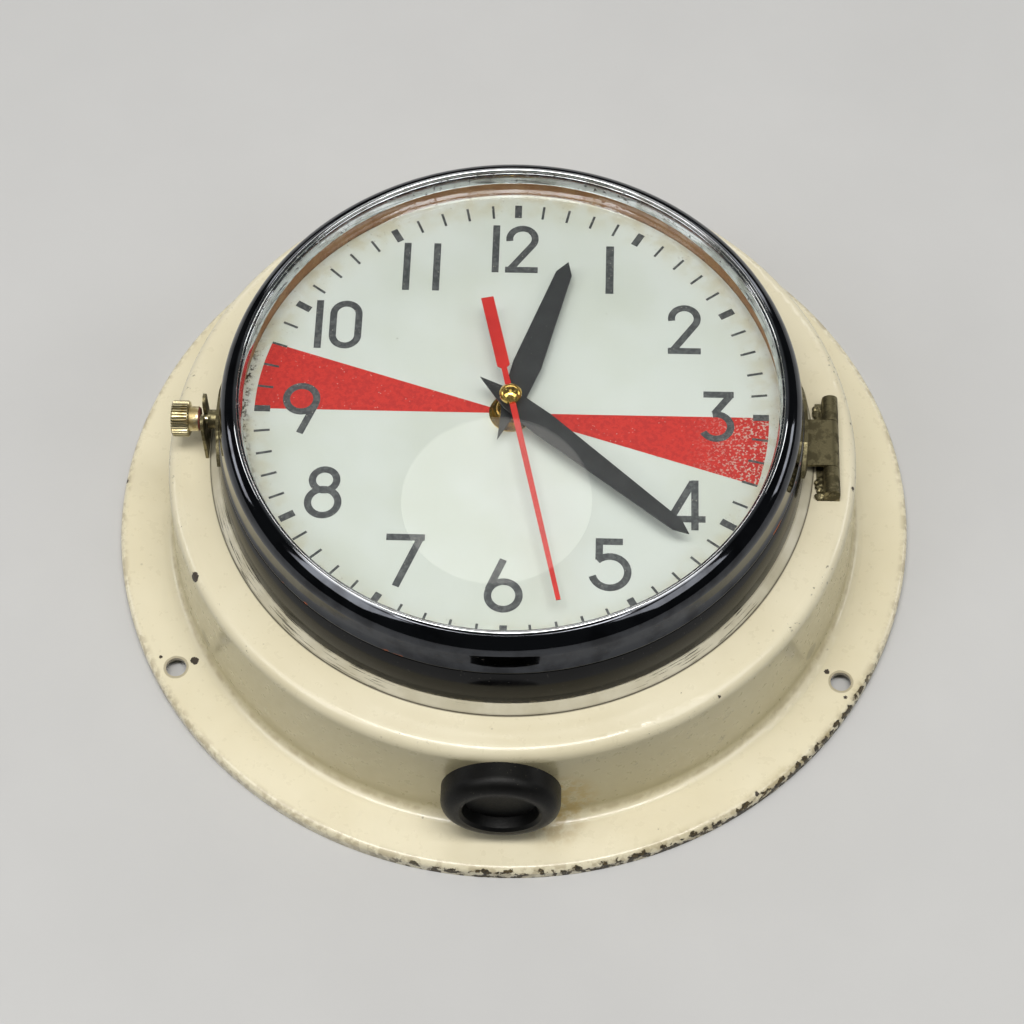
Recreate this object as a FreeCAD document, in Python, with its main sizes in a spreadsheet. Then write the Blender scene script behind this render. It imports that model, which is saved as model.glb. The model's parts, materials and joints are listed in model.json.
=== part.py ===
"""Ships deck clock: a hinged, glazed bezel on a pressed steel case that holds a quartz movement.

The clock lies on its back. The origin is the centre of the back mounting plane, +Z points out of the dial,
+Y is 12 o'clock and +X is 3 o'clock. All sizes are in millimetres.
"""

import FreeCAD, Part

import math
import os
import re

import Sketcher

SIZES = """
# case
flange_radius 138
flange_top 5
case_sheet 1.6
rim_round 2.4
wall_foot_radius 118.6
wall_top_radius 116.8
wall_foot_round 4
shoulder_round 4.6
hub_height 46.5
hole_circle_radius 130.5
hole_radius 3.5
plug_hole_radius 15
plug_height 28
# back
back_plate_margin 12
back_plate_sheet 1.2
back_gasket_thickness 0.8
bracket_screw_circle 107
bracket_sheet 1.6
bracket_height 14
back_screw_radius 1.5
back_screw_head_radius 3
# seat, neck and dial
seat_foot_radius 102
seat_top_radius 99.3
seat_height 2.5
neck_radius 95
neck_wall 1.6
neck_top 69
neck_foot 40
ledge_radius 86
dial_height 66.8
dial_sheet 1.2
dial_clearance 0.2
dial_opening 90
surround_sheet 0.9
surround_flange 0.6
surround_height 6.7
dial_screw_circle 92.2
dial_screw_radius 0.6
dial_screw_head_radius 1.05
dial_screw_head 0.8
# bezel and glass
bezel_gap 0.3
skirt_radius 98.9
skirt_wall 1.5
crease_height 66.9
crease_radius 97.2
crease_step 0.35
crown_foot_radius 96.3
crown_foot_height 75
crest_radius 91.3
crest_height 82
lip_radius 88.6
lip_height 77.2
lip_edge 0.5
glass_radius 94
glass_sheet 2.2
glass_sphere 382.6
glass_top 87
glass_clearance 0.1
pocket_radius 94.4
gasket_inner_radius 91.8
gasket_foot 72
retainer_sheet 1
retainer_inner_radius 92.4
seal_inner_radius 92.6
seal_gap 0.05
seal_lap 0.3
retainer_outer_radius 95.6
# rubber plug
plug_radius 19.5
plug_out 10.5
plug_round 4.5
plug_recess_radius 12.5
plug_recess 4.5
plug_lip_radius 15.8
plug_lip 3
# hinge
hinge_x 107.6
hinge_height 50.6
barrel_radius 2.7
hinge_length 38
knuckle_length 18
knuckle_gap 0.2
pin_radius 1.2
pin_clearance 0.05
hinge_foot_sheet 1
hinge_foot_reach 102.8
leaf_sheet 1.2
leaf_half_angle 10.6
leaf_low 52.6
leaf_high 66
# latch
latch_height 60.3
latch_plate_sheet 1
latch_half_angle 10.6
boss_radius 3.2
boss_length 3.1
boss_face 101.7
shank_radius 1.5
shank_clearance 0.05
screw_tip_radius 95.95
washer_x 104.4
washer_sheet 0.5
washer_radius 3.9
collar_radius 4.2
collar_length 3
head_radius 6.1
head_length 5.9
knurl_count 36
knurl_depth 0.35
fork_x 102.5
fork_sheet 1
fork_half_width 7
fork_slot_half 1.75
fork_top 67
fork_waist 4
# hands
hour_hand_height 71.3
minute_hand_height 74.6
second_hand_height 77.8
hand_sheet 0.6
second_hand_sheet 0.4
second_hand_droop 2.1
hour_hand_length 61
minute_hand_length 77
second_hand_length 77.5
second_tail_length 40.5
hour_hand_turn 17
minute_hand_turn 130.3
second_hand_turn 167
cap_radius 3.7
cap_height 3.2
# movement
movement_half_width 29
movement_top_y 20
movement_low_y 37.5
movement_wall 1.4
movement_front 65.1
movement_split 57
movement_rear 48
cushion_outer_radius 12
bushing_radius 4.9
bushing_flange_radius 6.5
bushing_top 70.2
centre_washer_radius 7.3
centre_washer_sheet 0.6
centre_nut_across 11
centre_nut_height 2.2
seconds_arbor_radius 0.6
minute_tube_radius 1.6
hour_tube_radius 2.6
running_clearance 0.05
arbor_radius 0.4
train_angle 150
third_angle 30
battery_radius 7.05
battery_length 50.5
battery_y 28.2
battery_height 56.55
knob_radius 6
knob_length 4
"""

UP = FreeCAD.Rotation()
ALONG_X = FreeCAD.Rotation(FreeCAD.Vector(0, 1, 0), 90)
ALONG_MINUS_X = FreeCAD.Rotation(FreeCAD.Vector(0, 1, 0), -90)
ALONG_MINUS_Y = FreeCAD.Rotation(FreeCAD.Vector(1, 0, 0), 90)

doc = FreeCAD.newDocument("deck_clock")
sheet = doc.addObject("Spreadsheet::Sheet", "sizes")
scratch = doc.addObject("App::FeaturePython", "reader")
nodes = []


def fill_sheet():
    """One row a size: its name, its value and the alias that expressions use."""
    row = 1
    for line in SIZES.strip().splitlines():
        if line.startswith("#"):
            sheet.set(f"A{row}", line[1:].strip())
        else:
            name, number = line.split()
            sheet.set(f"A{row}", name)
            sheet.set(f"B{row}", number)
            sheet.setAlias(f"B{row}", name)
        row += 1
    doc.recompute()


FUNCTIONS = {"sin", "cos", "tan", "sqrt", "abs"}


def formula(text):
    """A formula over size names as an expression that reads the sheet."""
    return re.sub(r"[a-z][a-z_]*", lambda m: m[0] if m[0] in FUNCTIONS else "sizes." + m[0], str(text))


def value(text):
    """The number that a formula over size names comes to."""
    found = scratch.evalExpression(formula(text))
    return float(getattr(found, "Value", found))


def bind(thing, path, text):
    thing.setExpression(path, formula(text))


def put(thing, x="0", y="0", z="0", turn=UP):
    thing.Placement = FreeCAD.Placement(FreeCAD.Vector(), turn)
    for axis, text in (("x", x), ("y", y), ("z", z)):
        if str(text) != "0":
            bind(thing, f".Placement.Base.{axis}", text)
    return thing


def keep(thing, label):
    """Marks an object as a sub-part under its own name."""
    thing.Label = label
    nodes.append(thing)
    return thing


# ---------------------------------------------------------------- sketches and bodies


def outline(body, name, plane, corners, lift="0"):
    """A closed sketch. A corner is (x, y), or (x, y, radius, side) where the edge that ends there is an arc:
    side is 1 for an arc that runs anticlockwise and -1 for clockwise."""
    made = body.newObject("Sketcher::SketchObject", name)
    role = {"XY": "XY_Plane", "XZ": "XZ_Plane", "YZ": "YZ_Plane"}[plane]
    made.AttachmentSupport = [(next(f for f in body.Origin.OriginFeatures if f.Role == role), "")]
    made.MapMode = "FlatFace"
    if lift != "0":
        bind(made, ".AttachmentOffset.Base.z", lift)
    points = [FreeCAD.Vector(value(c[0]), value(c[1]), 0) for c in corners]
    ends = []
    for i, corner in enumerate(corners):
        start, end = points[i - 1], points[i]
        if len(corner) == 2:
            made.addGeometry(Part.LineSegment(start, end), False)
            ends.append((1, 2))
            continue
        radius, side = value(corner[2]), corner[3]
        chord = end - start
        rise = math.sqrt(max(radius**2 - (chord.Length / 2) ** 2, 0))
        across = FreeCAD.Vector(-chord.y, chord.x, 0) * (side / chord.Length)
        centre = start + chord * 0.5 + across * rise
        first, last = (start, end) if side > 0 else (end, start)
        low = math.atan2(first.y - centre.y, first.x - centre.x)
        high = math.atan2(last.y - centre.y, last.x - centre.x)
        circle = Part.Circle(centre, FreeCAD.Vector(0, 0, 1), radius)
        made.addGeometry(Part.ArcOfCircle(circle, low, high if high > low else high + 2 * math.pi), False)
        ends.append((1, 2) if side > 0 else (2, 1))
    count = len(corners)
    for i in range(count):
        made.addConstraint(Sketcher.Constraint("Coincident", i, ends[i][1], (i + 1) % count, ends[(i + 1) % count][0]))
    for i, corner in enumerate(corners):
        for kind, text in (("DistanceX", corner[0]), ("DistanceY", corner[1])):
            number = made.addConstraint(Sketcher.Constraint(kind, -1, 1, i, ends[i][1], value(text)))
            bind(made, f"Constraints[{number}]", text)
        if len(corner) == 4:
            number = made.addConstraint(Sketcher.Constraint("Radius", i, value(corner[2])))
            bind(made, f"Constraints[{number}]", corner[2])
    return made


def turned(name, corners, angle=None):
    """A body turned about Z from a profile in the XZ plane. An angle gives a sector centred on the X axis."""
    body = doc.addObject("PartDesign::Body", name)
    profile = outline(body, name + "_profile", "XZ", corners)
    turn = body.newObject("PartDesign::Revolution", name + "_turning")
    turn.Profile = profile
    turn.ReferenceAxis = (profile, ["V_Axis"])
    if angle is None:
        turn.Angle = 360
    else:
        bind(turn, "Angle", angle)
        turn.Midplane = True
    profile.Visibility = False
    return body


def sawn(name, corners, low, thickness, plane="XY"):
    """A body of one thickness from an outline, its lower face at the given height above its plane."""
    body = doc.addObject("PartDesign::Body", name)
    profile = outline(body, name + "_outline", plane, corners, low)
    pad = body.newObject("PartDesign::Pad", name + "_pad")
    pad.Profile = profile
    bind(pad, "Length", thickness)
    return body


def rectangle(low_x, high_x, low_y, high_y):
    return [(low_x, low_y), (high_x, low_y), (high_x, high_y), (low_x, high_y)]


# ---------------------------------------------------------------- primitives and booleans


def rod(name, radius, length, x="0", y="0", z="0", turn=UP):
    made = doc.addObject("Part::Cylinder", name)
    bind(made, "Radius", radius)
    bind(made, "Height", length)
    return put(made, x, y, z, turn)


def block(name, low_x, high_x, low_y, high_y, low_z, high_z):
    made = doc.addObject("Part::Box", name)
    bind(made, "Length", f"({high_x}) - ({low_x})")
    bind(made, "Width", f"({high_y}) - ({low_y})")
    bind(made, "Height", f"({high_z}) - ({low_z})")
    return put(made, low_x, low_y, low_z)


def cut(name, base, tool):
    made = doc.addObject("Part::Cut", name)
    made.Base = base
    made.Tool = tool
    return made


def joined(name, *pieces):
    made = doc.addObject("Part::MultiFuse", name)
    made.Shapes = list(pieces)
    return made


def shared(name, *pieces):
    made = doc.addObject("Part::MultiCommon", name)
    made.Shapes = list(pieces)
    return made


def group(name, *pieces):
    """Separate solids under one name, such as a set of screws."""
    made = doc.addObject("Part::Compound", name)
    made.Links = list(pieces)
    return made


def washer(name, outer, inner, length, x="0", y="0", z="0", turn=UP):
    return cut(name, rod(name + "_rim", outer, length, x, y, z, turn), rod(name + "_bore", inner, length, x, y, z, turn))


def polar(circle, degrees):
    """X and Y formulas of a point on a circle, its angle counted from +X, in degrees."""
    return f"({circle}) * cos({degrees})", f"({circle}) * sin({degrees})"


THIRDS = (90, -30, 210)

fill_sheet()

# ---------------------------------------------------------------- case

def case_shell():
    shell = turned("shell", [
        ("flange_radius", "0"),
        ("flange_radius", "flange_top - rim_round"),
        ("flange_radius - rim_round", "flange_top", "rim_round", 1),
        ("wall_foot_radius + wall_foot_round", "flange_top"),
        ("wall_foot_radius", "flange_top + wall_foot_round", "wall_foot_round", -1),
        ("wall_top_radius", "hub_height - shoulder_round"),
        ("wall_top_radius - shoulder_round", "hub_height", "shoulder_round", 1),
        ("neck_radius", "hub_height"),
        ("neck_radius", "hub_height - case_sheet"),
        ("wall_top_radius - shoulder_round", "hub_height - case_sheet"),
        ("wall_top_radius - case_sheet", "hub_height - shoulder_round", "shoulder_round - case_sheet", -1),
        ("wall_foot_radius - case_sheet", "flange_top + wall_foot_round"),
        ("wall_foot_radius + wall_foot_round", "flange_top - case_sheet", "wall_foot_round + case_sheet", 1),
        ("flange_radius - rim_round", "flange_top - case_sheet"),
        ("flange_radius - case_sheet", "flange_top - rim_round", "rim_round - case_sheet", -1),
        ("flange_radius - case_sheet", "0"),
    ])
    plug_way = rod("plug_way", "plug_hole_radius", "flange_radius - wall_top_radius + 8 * case_sheet", "0",
                   "-(wall_top_radius - 8 * case_sheet)", "plug_height", ALONG_MINUS_Y)
    ways = [plug_way]
    for i, degrees in enumerate(THIRDS):
        x, y = polar("hole_circle_radius", degrees)
        ways.append(rod(f"mounting_way_{i}", "hole_radius", "flange_top + case_sheet", x, y, "0"))
    keep(cut("drilled_shell", shell, joined("case_ways", *ways)), "case_shell")


def back():
    plate_radius = "flange_radius - back_plate_margin"
    gasket_foot = "flange_top - case_sheet - back_gasket_thickness"
    plate_foot = f"{gasket_foot} - back_plate_sheet"
    gasket_inner = "wall_foot_radius + wall_foot_round"
    keep(turned("gasket", rectangle(gasket_inner, plate_radius, gasket_foot, "flange_top - case_sheet")), "back_gasket")
    plate = rod("plate_blank", plate_radius, "back_plate_sheet", "0", "0", plate_foot)
    foot = gasket_foot
    wall_inside = "wall_foot_radius - case_sheet"
    top_inside = "wall_top_radius - case_sheet"
    lean = "(wall_foot_radius - wall_top_radius) / (hub_height - shoulder_round - flange_top - wall_foot_round)"
    start = "flange_top + wall_foot_round"
    leg_top = f"{start} + bracket_height"
    top_radius = f"{wall_inside} - {lean} * bracket_height"
    brackets, screws, ways = [], [], []
    for i, degrees in enumerate(THIRDS):
        bracket = turned(f"bracket_{i}", [
            ("bracket_screw_circle - 3 * back_screw_radius", foot),
            (f"{wall_inside} - bracket_sheet", foot),
            (wall_inside, start),
            (top_radius, leg_top),
            (f"{top_radius} - bracket_sheet", leg_top),
            (f"{wall_inside} - bracket_sheet", f"{foot} + 3 * bracket_sheet"),
            (f"{wall_inside} - 3 * bracket_sheet", f"{foot} + bracket_sheet"),
            ("bracket_screw_circle - 3 * back_screw_radius", f"{foot} + bracket_sheet"),
        ], "8")
        bracket.Placement = FreeCAD.Placement(FreeCAD.Vector(), FreeCAD.Rotation(degrees, 0, 0))
        x, y = polar("bracket_screw_circle", degrees)
        way = rod(f"bracket_way_{i}", "back_screw_radius", "3 * bracket_sheet", x, y, foot)
        brackets.append(cut(f"tapped_bracket_{i}", bracket, way))
        ways.append(rod(f"plate_way_{i}", "back_screw_radius", "back_plate_sheet", x, y, plate_foot))
        head_height = "back_plate_sheet * 0.9"
        head = rod(f"back_head_{i}", "back_screw_head_radius", head_height, x, y, f"{plate_foot} - {head_height}")
        shank = rod(f"back_shank_{i}", "back_screw_radius", "back_plate_sheet + 2 * bracket_sheet", x, y, plate_foot)
        slot = block(f"back_slot_{i}", f"{x} - 4", f"{x} + 4", f"{y} - 0.4", f"{y} + 0.4",
                     f"{plate_foot} - 2", f"{plate_foot} - {head_height} * 0.5")
        screws.append(cut(f"back_screw_{i}", joined(f"back_screw_blank_{i}", head, shank), slot))
    keep(cut("drilled_plate", plate, joined("plate_ways", *ways)), "back_plate")
    keep(group("brackets", *brackets), "back_plate_brackets")
    keep(group("back_screws", *screws), "back_plate_screws")


def seat_and_neck():
    top = "hub_height + seat_height"
    keep(turned("seat", [
        ("neck_radius", "hub_height"),
        ("seat_foot_radius", "hub_height"),
        ("seat_foot_radius", "hub_height + seat_height * 0.2"),
        ("seat_top_radius", top),
        ("neck_radius", top),
    ]), "bezel_seat_ring")
    ledge_top = "dial_height - dial_sheet"
    ledge_low = f"{ledge_top} - neck_wall"
    inner = "neck_radius - neck_wall"
    neck = turned("neck", [
        (inner, "neck_foot"),
        ("neck_radius", "neck_foot"),
        ("neck_radius", "neck_top"),
        (inner, "neck_top"),
        (inner, ledge_top),
        ("ledge_radius", ledge_top),
        ("ledge_radius", ledge_low),
        (inner, ledge_low),
    ])
    dial = turned("dial", rectangle("bushing_radius + dial_clearance", f"{inner} - dial_clearance", ledge_top, "dial_height"))
    flange_high = "dial_height + surround_flange"
    surround = turned("surround", [
        ("dial_opening", "dial_height"),
        (f"{inner} - dial_clearance", "dial_height"),
        (f"{inner} - dial_clearance", flange_high),
        ("dial_opening + surround_sheet", flange_high),
        ("dial_opening + surround_sheet", "dial_height + surround_height"),
        ("dial_opening", "dial_height + surround_height"),
    ])
    screws, ways = [], []
    for i in range(4):
        x, y = polar("dial_screw_circle", 45 + 90 * i)
        length = f"{flange_high} - ({ledge_low})"
        ways.append(rod(f"dial_way_{i}", "dial_screw_radius", length, x, y, ledge_low))
        head = rod(f"dial_head_{i}", "dial_screw_head_radius", "dial_screw_head", x, y, flange_high)
        shank = rod(f"dial_shank_{i}", "dial_screw_radius", length, x, y, ledge_low)
        screws.append(joined(f"dial_screw_{i}", head, shank))
    tools = joined("dial_ways", *ways)
    keep(cut("drilled_neck", neck, tools), "neck_ring")
    keep(cut("drilled_dial", dial, tools), "dial_plate")
    keep(cut("drilled_surround", surround, tools), "dial_surround_ring")
    keep(group("dial_screw_set", *screws), "dial_screws")


def cable_hole_plug():
    """Turned about its own axis, then laid on the wall with its face out. Its groove grips the wall's sheet."""
    seat = "0"
    plug = turned("plug", [
        ("0", f"{seat} - plug_lip - 2 * case_sheet"),
        ("plug_lip_radius - 2", f"{seat} - plug_lip - 2 * case_sheet"),
        ("plug_lip_radius", f"{seat} - 2 * case_sheet"),
        ("plug_hole_radius", f"{seat} - 2 * case_sheet"),
        ("plug_hole_radius", f"{seat} + 1.1"),
        ("plug_radius", f"{seat} + 1.1"),
        ("plug_radius", "plug_out - plug_round"),
        ("plug_radius - plug_round", "plug_out", "plug_round", 1),
        ("plug_recess_radius + 1", "plug_out"),
        ("plug_recess_radius", "plug_out - 1"),
        ("plug_recess_radius - 0.8", "plug_out - plug_recess"),
        ("0", "plug_out - plug_recess"),
    ])
    middle = "(wall_foot_radius + wall_top_radius) / 2"
    put(plug, "0", f"-({middle})", "plug_height", ALONG_MINUS_Y)
    lean = "(wall_foot_radius - wall_top_radius) / (hub_height - shoulder_round - flange_top - wall_foot_round)"
    cone = doc.addObject("Part::Cone", "wall_solid")
    reach = "30"
    bind(cone, "Radius1", f"wall_foot_radius + {lean} * (flange_top + wall_foot_round)")
    bind(cone, "Radius2", f"wall_foot_radius + {lean} * (flange_top + wall_foot_round) - {lean} * 2 * {reach}")
    bind(cone, "Height", f"2 * {reach}")
    inner = doc.addObject("Part::Cone", "wall_inside")
    bind(inner, "Radius1", f"wall_foot_radius - case_sheet + {lean} * (flange_top + wall_foot_round)")
    bind(inner, "Radius2", f"wall_foot_radius - case_sheet + {lean} * (flange_top + wall_foot_round) - {lean} * 2 * {reach}")
    bind(inner, "Height", f"2 * {reach}")
    band = cut("wall_band", cone, inner)
    core = rod("plug_core", "plug_hole_radius", "12 * case_sheet", "0", "-(wall_top_radius - 6 * case_sheet)",
               "plug_height", ALONG_MINUS_Y)
    keep(cut("plug_trimmed", plug, cut("plug_groove", band, core)), "cable_hole_plug")


# ---------------------------------------------------------------- bezel


def glass_drop(radius, sphere):
    """How far a dome of that sphere has fallen at a radius."""
    return f"({sphere} - sqrt(({sphere})^2 - ({radius})^2))"


def bezel():
    foot = "hub_height + seat_height + bezel_gap"
    glass_under = "glass_sphere - glass_sheet"
    lip_low = "lip_height - lip_edge"
    pocket_top = f"glass_top + glass_clearance - {glass_drop('pocket_radius', 'glass_sphere')}"
    ring = turned("ring", [
        ("skirt_radius", foot),
        ("crease_radius + crease_step", "crease_height - crease_step"),
        ("crease_radius", "crease_height"),
        ("crown_foot_radius", "crown_foot_height"),
        ("crest_radius", "crest_height", "7.2", 1),
        ("crest_radius - 0.7", "crest_height - 0.3"),
        ("lip_radius", "lip_height"),
        ("lip_radius", lip_low),
        ("pocket_radius", pocket_top),
        ("pocket_radius", "gasket_foot"),
        ("retainer_outer_radius", "gasket_foot"),
        ("retainer_outer_radius", "crease_height + 0.6"),
        ("crease_radius - skirt_wall", "crease_height - 0.5"),
        ("skirt_radius - skirt_wall", foot),
    ])
    way = rod("bezel_screw_way", "shank_radius + shank_clearance", "4 * skirt_wall", "-(skirt_radius - 3 * skirt_wall)",
              "0", "latch_height", ALONG_MINUS_X)
    keep(cut("drilled_ring", ring, way), "bezel_ring")
    keep(turned("glass_dome", [
        ("0", "glass_top - glass_sheet"),
        ("glass_radius", f"glass_top - glass_sheet - {glass_drop('glass_radius', glass_under)}", glass_under, -1),
        ("glass_radius", f"glass_top - {glass_drop('glass_radius', 'glass_sphere')}"),
        ("0", "glass_top", "glass_sphere", 1),
    ]), "glass")
    keep(turned("glass_packing", [
        ("gasket_inner_radius", "gasket_foot"),
        ("glass_radius", "gasket_foot"),
        ("glass_radius", f"glass_top - glass_sheet - {glass_drop('glass_radius', glass_under)}"),
        ("gasket_inner_radius", f"glass_top - glass_sheet - {glass_drop('gasket_inner_radius', glass_under)} - 0.02"),
    ]), "glass_gasket")
    keep(turned("retainer", rectangle("retainer_inner_radius", "retainer_outer_radius", "gasket_foot - retainer_sheet",
                                      "gasket_foot")), "glass_retaining_ring")
    keep(turned("seal", [
        ("seal_inner_radius", "neck_top + seal_gap"),
        ("neck_radius + seal_lap", "neck_top + seal_gap"),
        ("neck_radius + seal_lap", "gasket_foot - retainer_sheet"),
        ("seal_inner_radius", "gasket_foot - retainer_sheet"),
    ]), "bezel_seal")


def leaf_plate(name, half_angle, sheet_name, side):
    """A curved plate with pointed, leaf-shaped ends that follows the skirt. side is 1 at 3 o'clock, -1 at 9."""
    foot = "hub_height + seat_height + bezel_gap"
    fall = "skirt_radius - crease_radius - crease_step"
    rate = f"({fall}) / (crease_height - crease_step - ({foot}))"
    low_radius = f"skirt_radius - {rate} * (leaf_low - ({foot}))"
    high_radius = f"skirt_radius - {rate} * (leaf_high - ({foot}))"
    band = turned(name + "_band", [
        (low_radius, "leaf_low"),
        (f"{low_radius} + {sheet_name}", "leaf_low"),
        (f"{high_radius} + {sheet_name}", "leaf_high"),
        (high_radius, "leaf_high"),
    ], f"2 * {half_angle}")
    if side < 0:
        band.Placement = FreeCAD.Placement(FreeCAD.Vector(), FreeCAD.Rotation(180, 0, 0))
    half = f"skirt_radius * sin({half_angle})"
    middle = "(leaf_low + leaf_high) / 2"
    leaf = sawn(name + "_leaf", [
        (f"{half} * 0.45", "leaf_high", "2.2 * (leaf_high - leaf_low)", 1),
        (f"-{half} * 0.45", "leaf_high"),
        (f"-{half}", middle, "2.2 * (leaf_high - leaf_low)", 1),
        (f"-{half} * 0.45", "leaf_low", "2.2 * (leaf_high - leaf_low)", 1),
        (f"{half} * 0.45", "leaf_low"),
        (half, middle, "2.2 * (leaf_high - leaf_low)", 1),
    ], "skirt_radius - 15", "20", "YZ")
    if side < 0:
        leaf.Placement = FreeCAD.Placement(FreeCAD.Vector(), FreeCAD.Rotation(180, 0, 0))
    return shared(name + "_plate", band, leaf)


def hinge():
    half = "hinge_length / 2"
    inside = "knuckle_length / 2 + knuckle_gap"
    end_length = f"{half} - ({inside})"
    foot_high = "hub_height + hinge_foot_sheet"
    back = "hinge_x + barrel_radius"
    pieces = [block("hinge_foot", "hinge_foot_reach", back, f"-({half})", half, "hub_height", foot_high)]
    for label, low in (("upper", inside), ("lower", f"-({half})")):
        pieces.append(rod(f"{label}_knuckle", "barrel_radius", end_length, "hinge_x", f"{low} + {end_length}",
                          "hinge_height", ALONG_MINUS_Y))
        pieces.append(block(f"{label}_web", "hinge_x - barrel_radius", back, low, f"{low} + {end_length}",
                            foot_high, "hinge_height"))
    bore = rod("pin_way", "pin_radius", "hinge_length + 4", "hinge_x", f"{half} + 2", "hinge_height", ALONG_MINUS_Y)
    keep(cut("bored_case_leaf", joined("case_leaf_blank", *pieces), bore), "hinge_case_leaf")
    keep(rod("pin", "pin_radius", "hinge_length + 0.6", "hinge_x", f"{half} + 0.3", "hinge_height", ALONG_MINUS_Y),
         "hinge_pin")
    knuckle = rod("bezel_knuckle", "barrel_radius", "knuckle_length", "hinge_x", "knuckle_length / 2", "hinge_height",
                  ALONG_MINUS_Y)
    strap_top = "hinge_height + barrel_radius"
    strap = block("hinge_strap", "skirt_radius - skirt_wall * 0.8", "hinge_x", "-knuckle_length / 2", "knuckle_length / 2",
                  f"{strap_top} - leaf_sheet", strap_top)
    bridge = cut("hinge_bridge", strap, doc.getObject("ring"))
    plate = leaf_plate("hinge_leaf", "leaf_half_angle", "leaf_sheet", 1)
    wide_bore = rod("wide_pin_way", "pin_radius + pin_clearance", "hinge_length", "hinge_x", half, "hinge_height",
                    ALONG_MINUS_Y)
    keep(cut("bored_bezel_leaf", joined("bezel_leaf_blank", knuckle, bridge, plate), wide_bore), "hinge_bezel_leaf")


def latch():
    plate = leaf_plate("latch_leaf", "latch_half_angle", "latch_plate_sheet", -1)
    way = rod("plate_screw_way", "shank_radius + shank_clearance", "30", "-(skirt_radius - 15)", "0", "latch_height",
              ALONG_MINUS_X)
    boss_start = "boss_face - latch_plate_sheet - boss_length"
    boss = rod("boss_blank", "boss_radius", "latch_plate_sheet + boss_length", f"-({boss_start})", "0", "latch_height",
               ALONG_MINUS_X)
    boss_outside = cut("boss_trimmed", cut("boss_on_skirt", boss, doc.getObject("ring")), plate)
    keep(cut("drilled_latch_plate", plate, way), "latch_plate")
    keep(cut("drilled_boss", boss_outside, way), "latch_boss")
    head_start = "washer_x + washer_sheet + collar_length"
    shank = rod("latch_shank", "shank_radius", f"{head_start} - screw_tip_radius", "-screw_tip_radius", "0",
                "latch_height", ALONG_MINUS_X)
    collar = rod("latch_collar", "collar_radius", "collar_length", "-(washer_x + washer_sheet)", "0", "latch_height",
                 ALONG_MINUS_X)
    head = knurled_head()
    put(head, f"-({head_start})", "0", "latch_height", ALONG_MINUS_X)
    keep(joined("thumbscrew", shank, collar, head), "latch_screw")
    keep(washer("fibre_washer", "washer_radius", "shank_radius + shank_clearance", "washer_sheet", "-washer_x", "0",
                "latch_height", ALONG_MINUS_X), "latch_washer")
    slot_low = "latch_height - fork_slot_half"
    middle = "(fork_half_width + fork_slot_half) / 2"
    tip = "(fork_half_width - fork_slot_half) / 2"
    fork = sawn("fork", [
        ("fork_half_width", "hub_height"),
        ("fork_half_width", "fork_top - " + tip),
        (middle, "fork_top", tip, 1),
        ("fork_slot_half", "fork_top - " + tip, tip, 1),
        ("fork_slot_half", "latch_height"),
        ("0", "latch_height - fork_slot_half", "fork_slot_half", -1),
        ("-fork_slot_half", "latch_height", "fork_slot_half", -1),
        ("-fork_slot_half", "fork_top - " + tip),
        (f"-{middle}", "fork_top", tip, 1),
        ("-fork_half_width", "fork_top - " + tip, tip, 1),
        ("-fork_half_width", "hub_height"),
    ], "-(fork_x + fork_sheet)", "fork_sheet", "YZ")
    keep(fork, "latch_fork")


def knurled_head():
    """The thumbscrew's head, its straight knurl cut as fine grooves, with a bevel at each end."""
    radius, length = value("head_radius"), value("head_length")
    count, depth = int(value("knurl_count")), value("knurl_depth")
    points = []
    for i in range(count):
        for share, reach in ((0.0, radius - depth), (0.25, radius), (0.6, radius), (0.85, radius - depth)):
            angle = 2 * math.pi * (i + share) / count
            points.append(FreeCAD.Vector(reach * math.cos(angle), reach * math.sin(angle), 0))
    knurl = Part.Face(Part.makePolygon(points + points[:1])).extrude(FreeCAD.Vector(0, 0, length))
    bevel = 0.5
    low = Part.makeCone(radius - bevel, radius + bevel, 2 * bevel)
    middle = Part.makeCylinder(radius + bevel, length - 4 * bevel, FreeCAD.Vector(0, 0, 2 * bevel))
    high = Part.makeCone(radius + bevel, radius - bevel, 2 * bevel, FreeCAD.Vector(0, 0, length - 2 * bevel))
    made = doc.addObject("Part::Feature", "head")
    made.Shape = knurl.common(low.fuse([middle, high]).removeSplitter())
    return made


# ---------------------------------------------------------------- gears

TOOTH_TIP = 0.75
TOOTH_ROOT = 1.15
PITCH_SHARE = 0.36
TIP_SHARE = 0.16
ROOT_SHARE = 0.46


def toothed(teeth, module, phase, low, thickness, x=0.0, y=0.0):
    """A spur gear's solid. One tooth is centred at the phase, in degrees from +X."""
    pitch = teeth * module / 2
    step = 2 * math.pi / teeth
    points = []
    for i in range(teeth):
        centre = math.radians(phase) + i * step
        for radius, share in (
            (pitch - TOOTH_ROOT * module, -ROOT_SHARE),
            (pitch, -PITCH_SHARE),
            (pitch + TOOTH_TIP * module, -TIP_SHARE),
            (pitch + TOOTH_TIP * module, TIP_SHARE),
            (pitch, PITCH_SHARE),
            (pitch - TOOTH_ROOT * module, ROOT_SHARE),
        ):
            angle = centre + share * step / 2
            points.append(FreeCAD.Vector(x + radius * math.cos(angle), y + radius * math.sin(angle), low))
    return Part.Face(Part.makePolygon(points + points[:1])).extrude(FreeCAD.Vector(0, 0, thickness))


def meshed(teeth, phase, other_teeth, direction):
    """The phase of a gear that meshes with another: direction is from the first gear's centre to its own."""
    pitch = 360 / teeth
    offset = (phase - direction) % pitch
    return direction + 180 - offset * teeth / other_teeth + 180 / other_teeth


def arbor(radius, low, high, x=0.0, y=0.0):
    return Part.makeCylinder(radius, high - low, FreeCAD.Vector(x, y, low))


def solid(name, shape, label):
    made = doc.addObject("Part::Feature", name)
    made.Shape = shape.removeSplitter()
    return keep(made, label)


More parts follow.
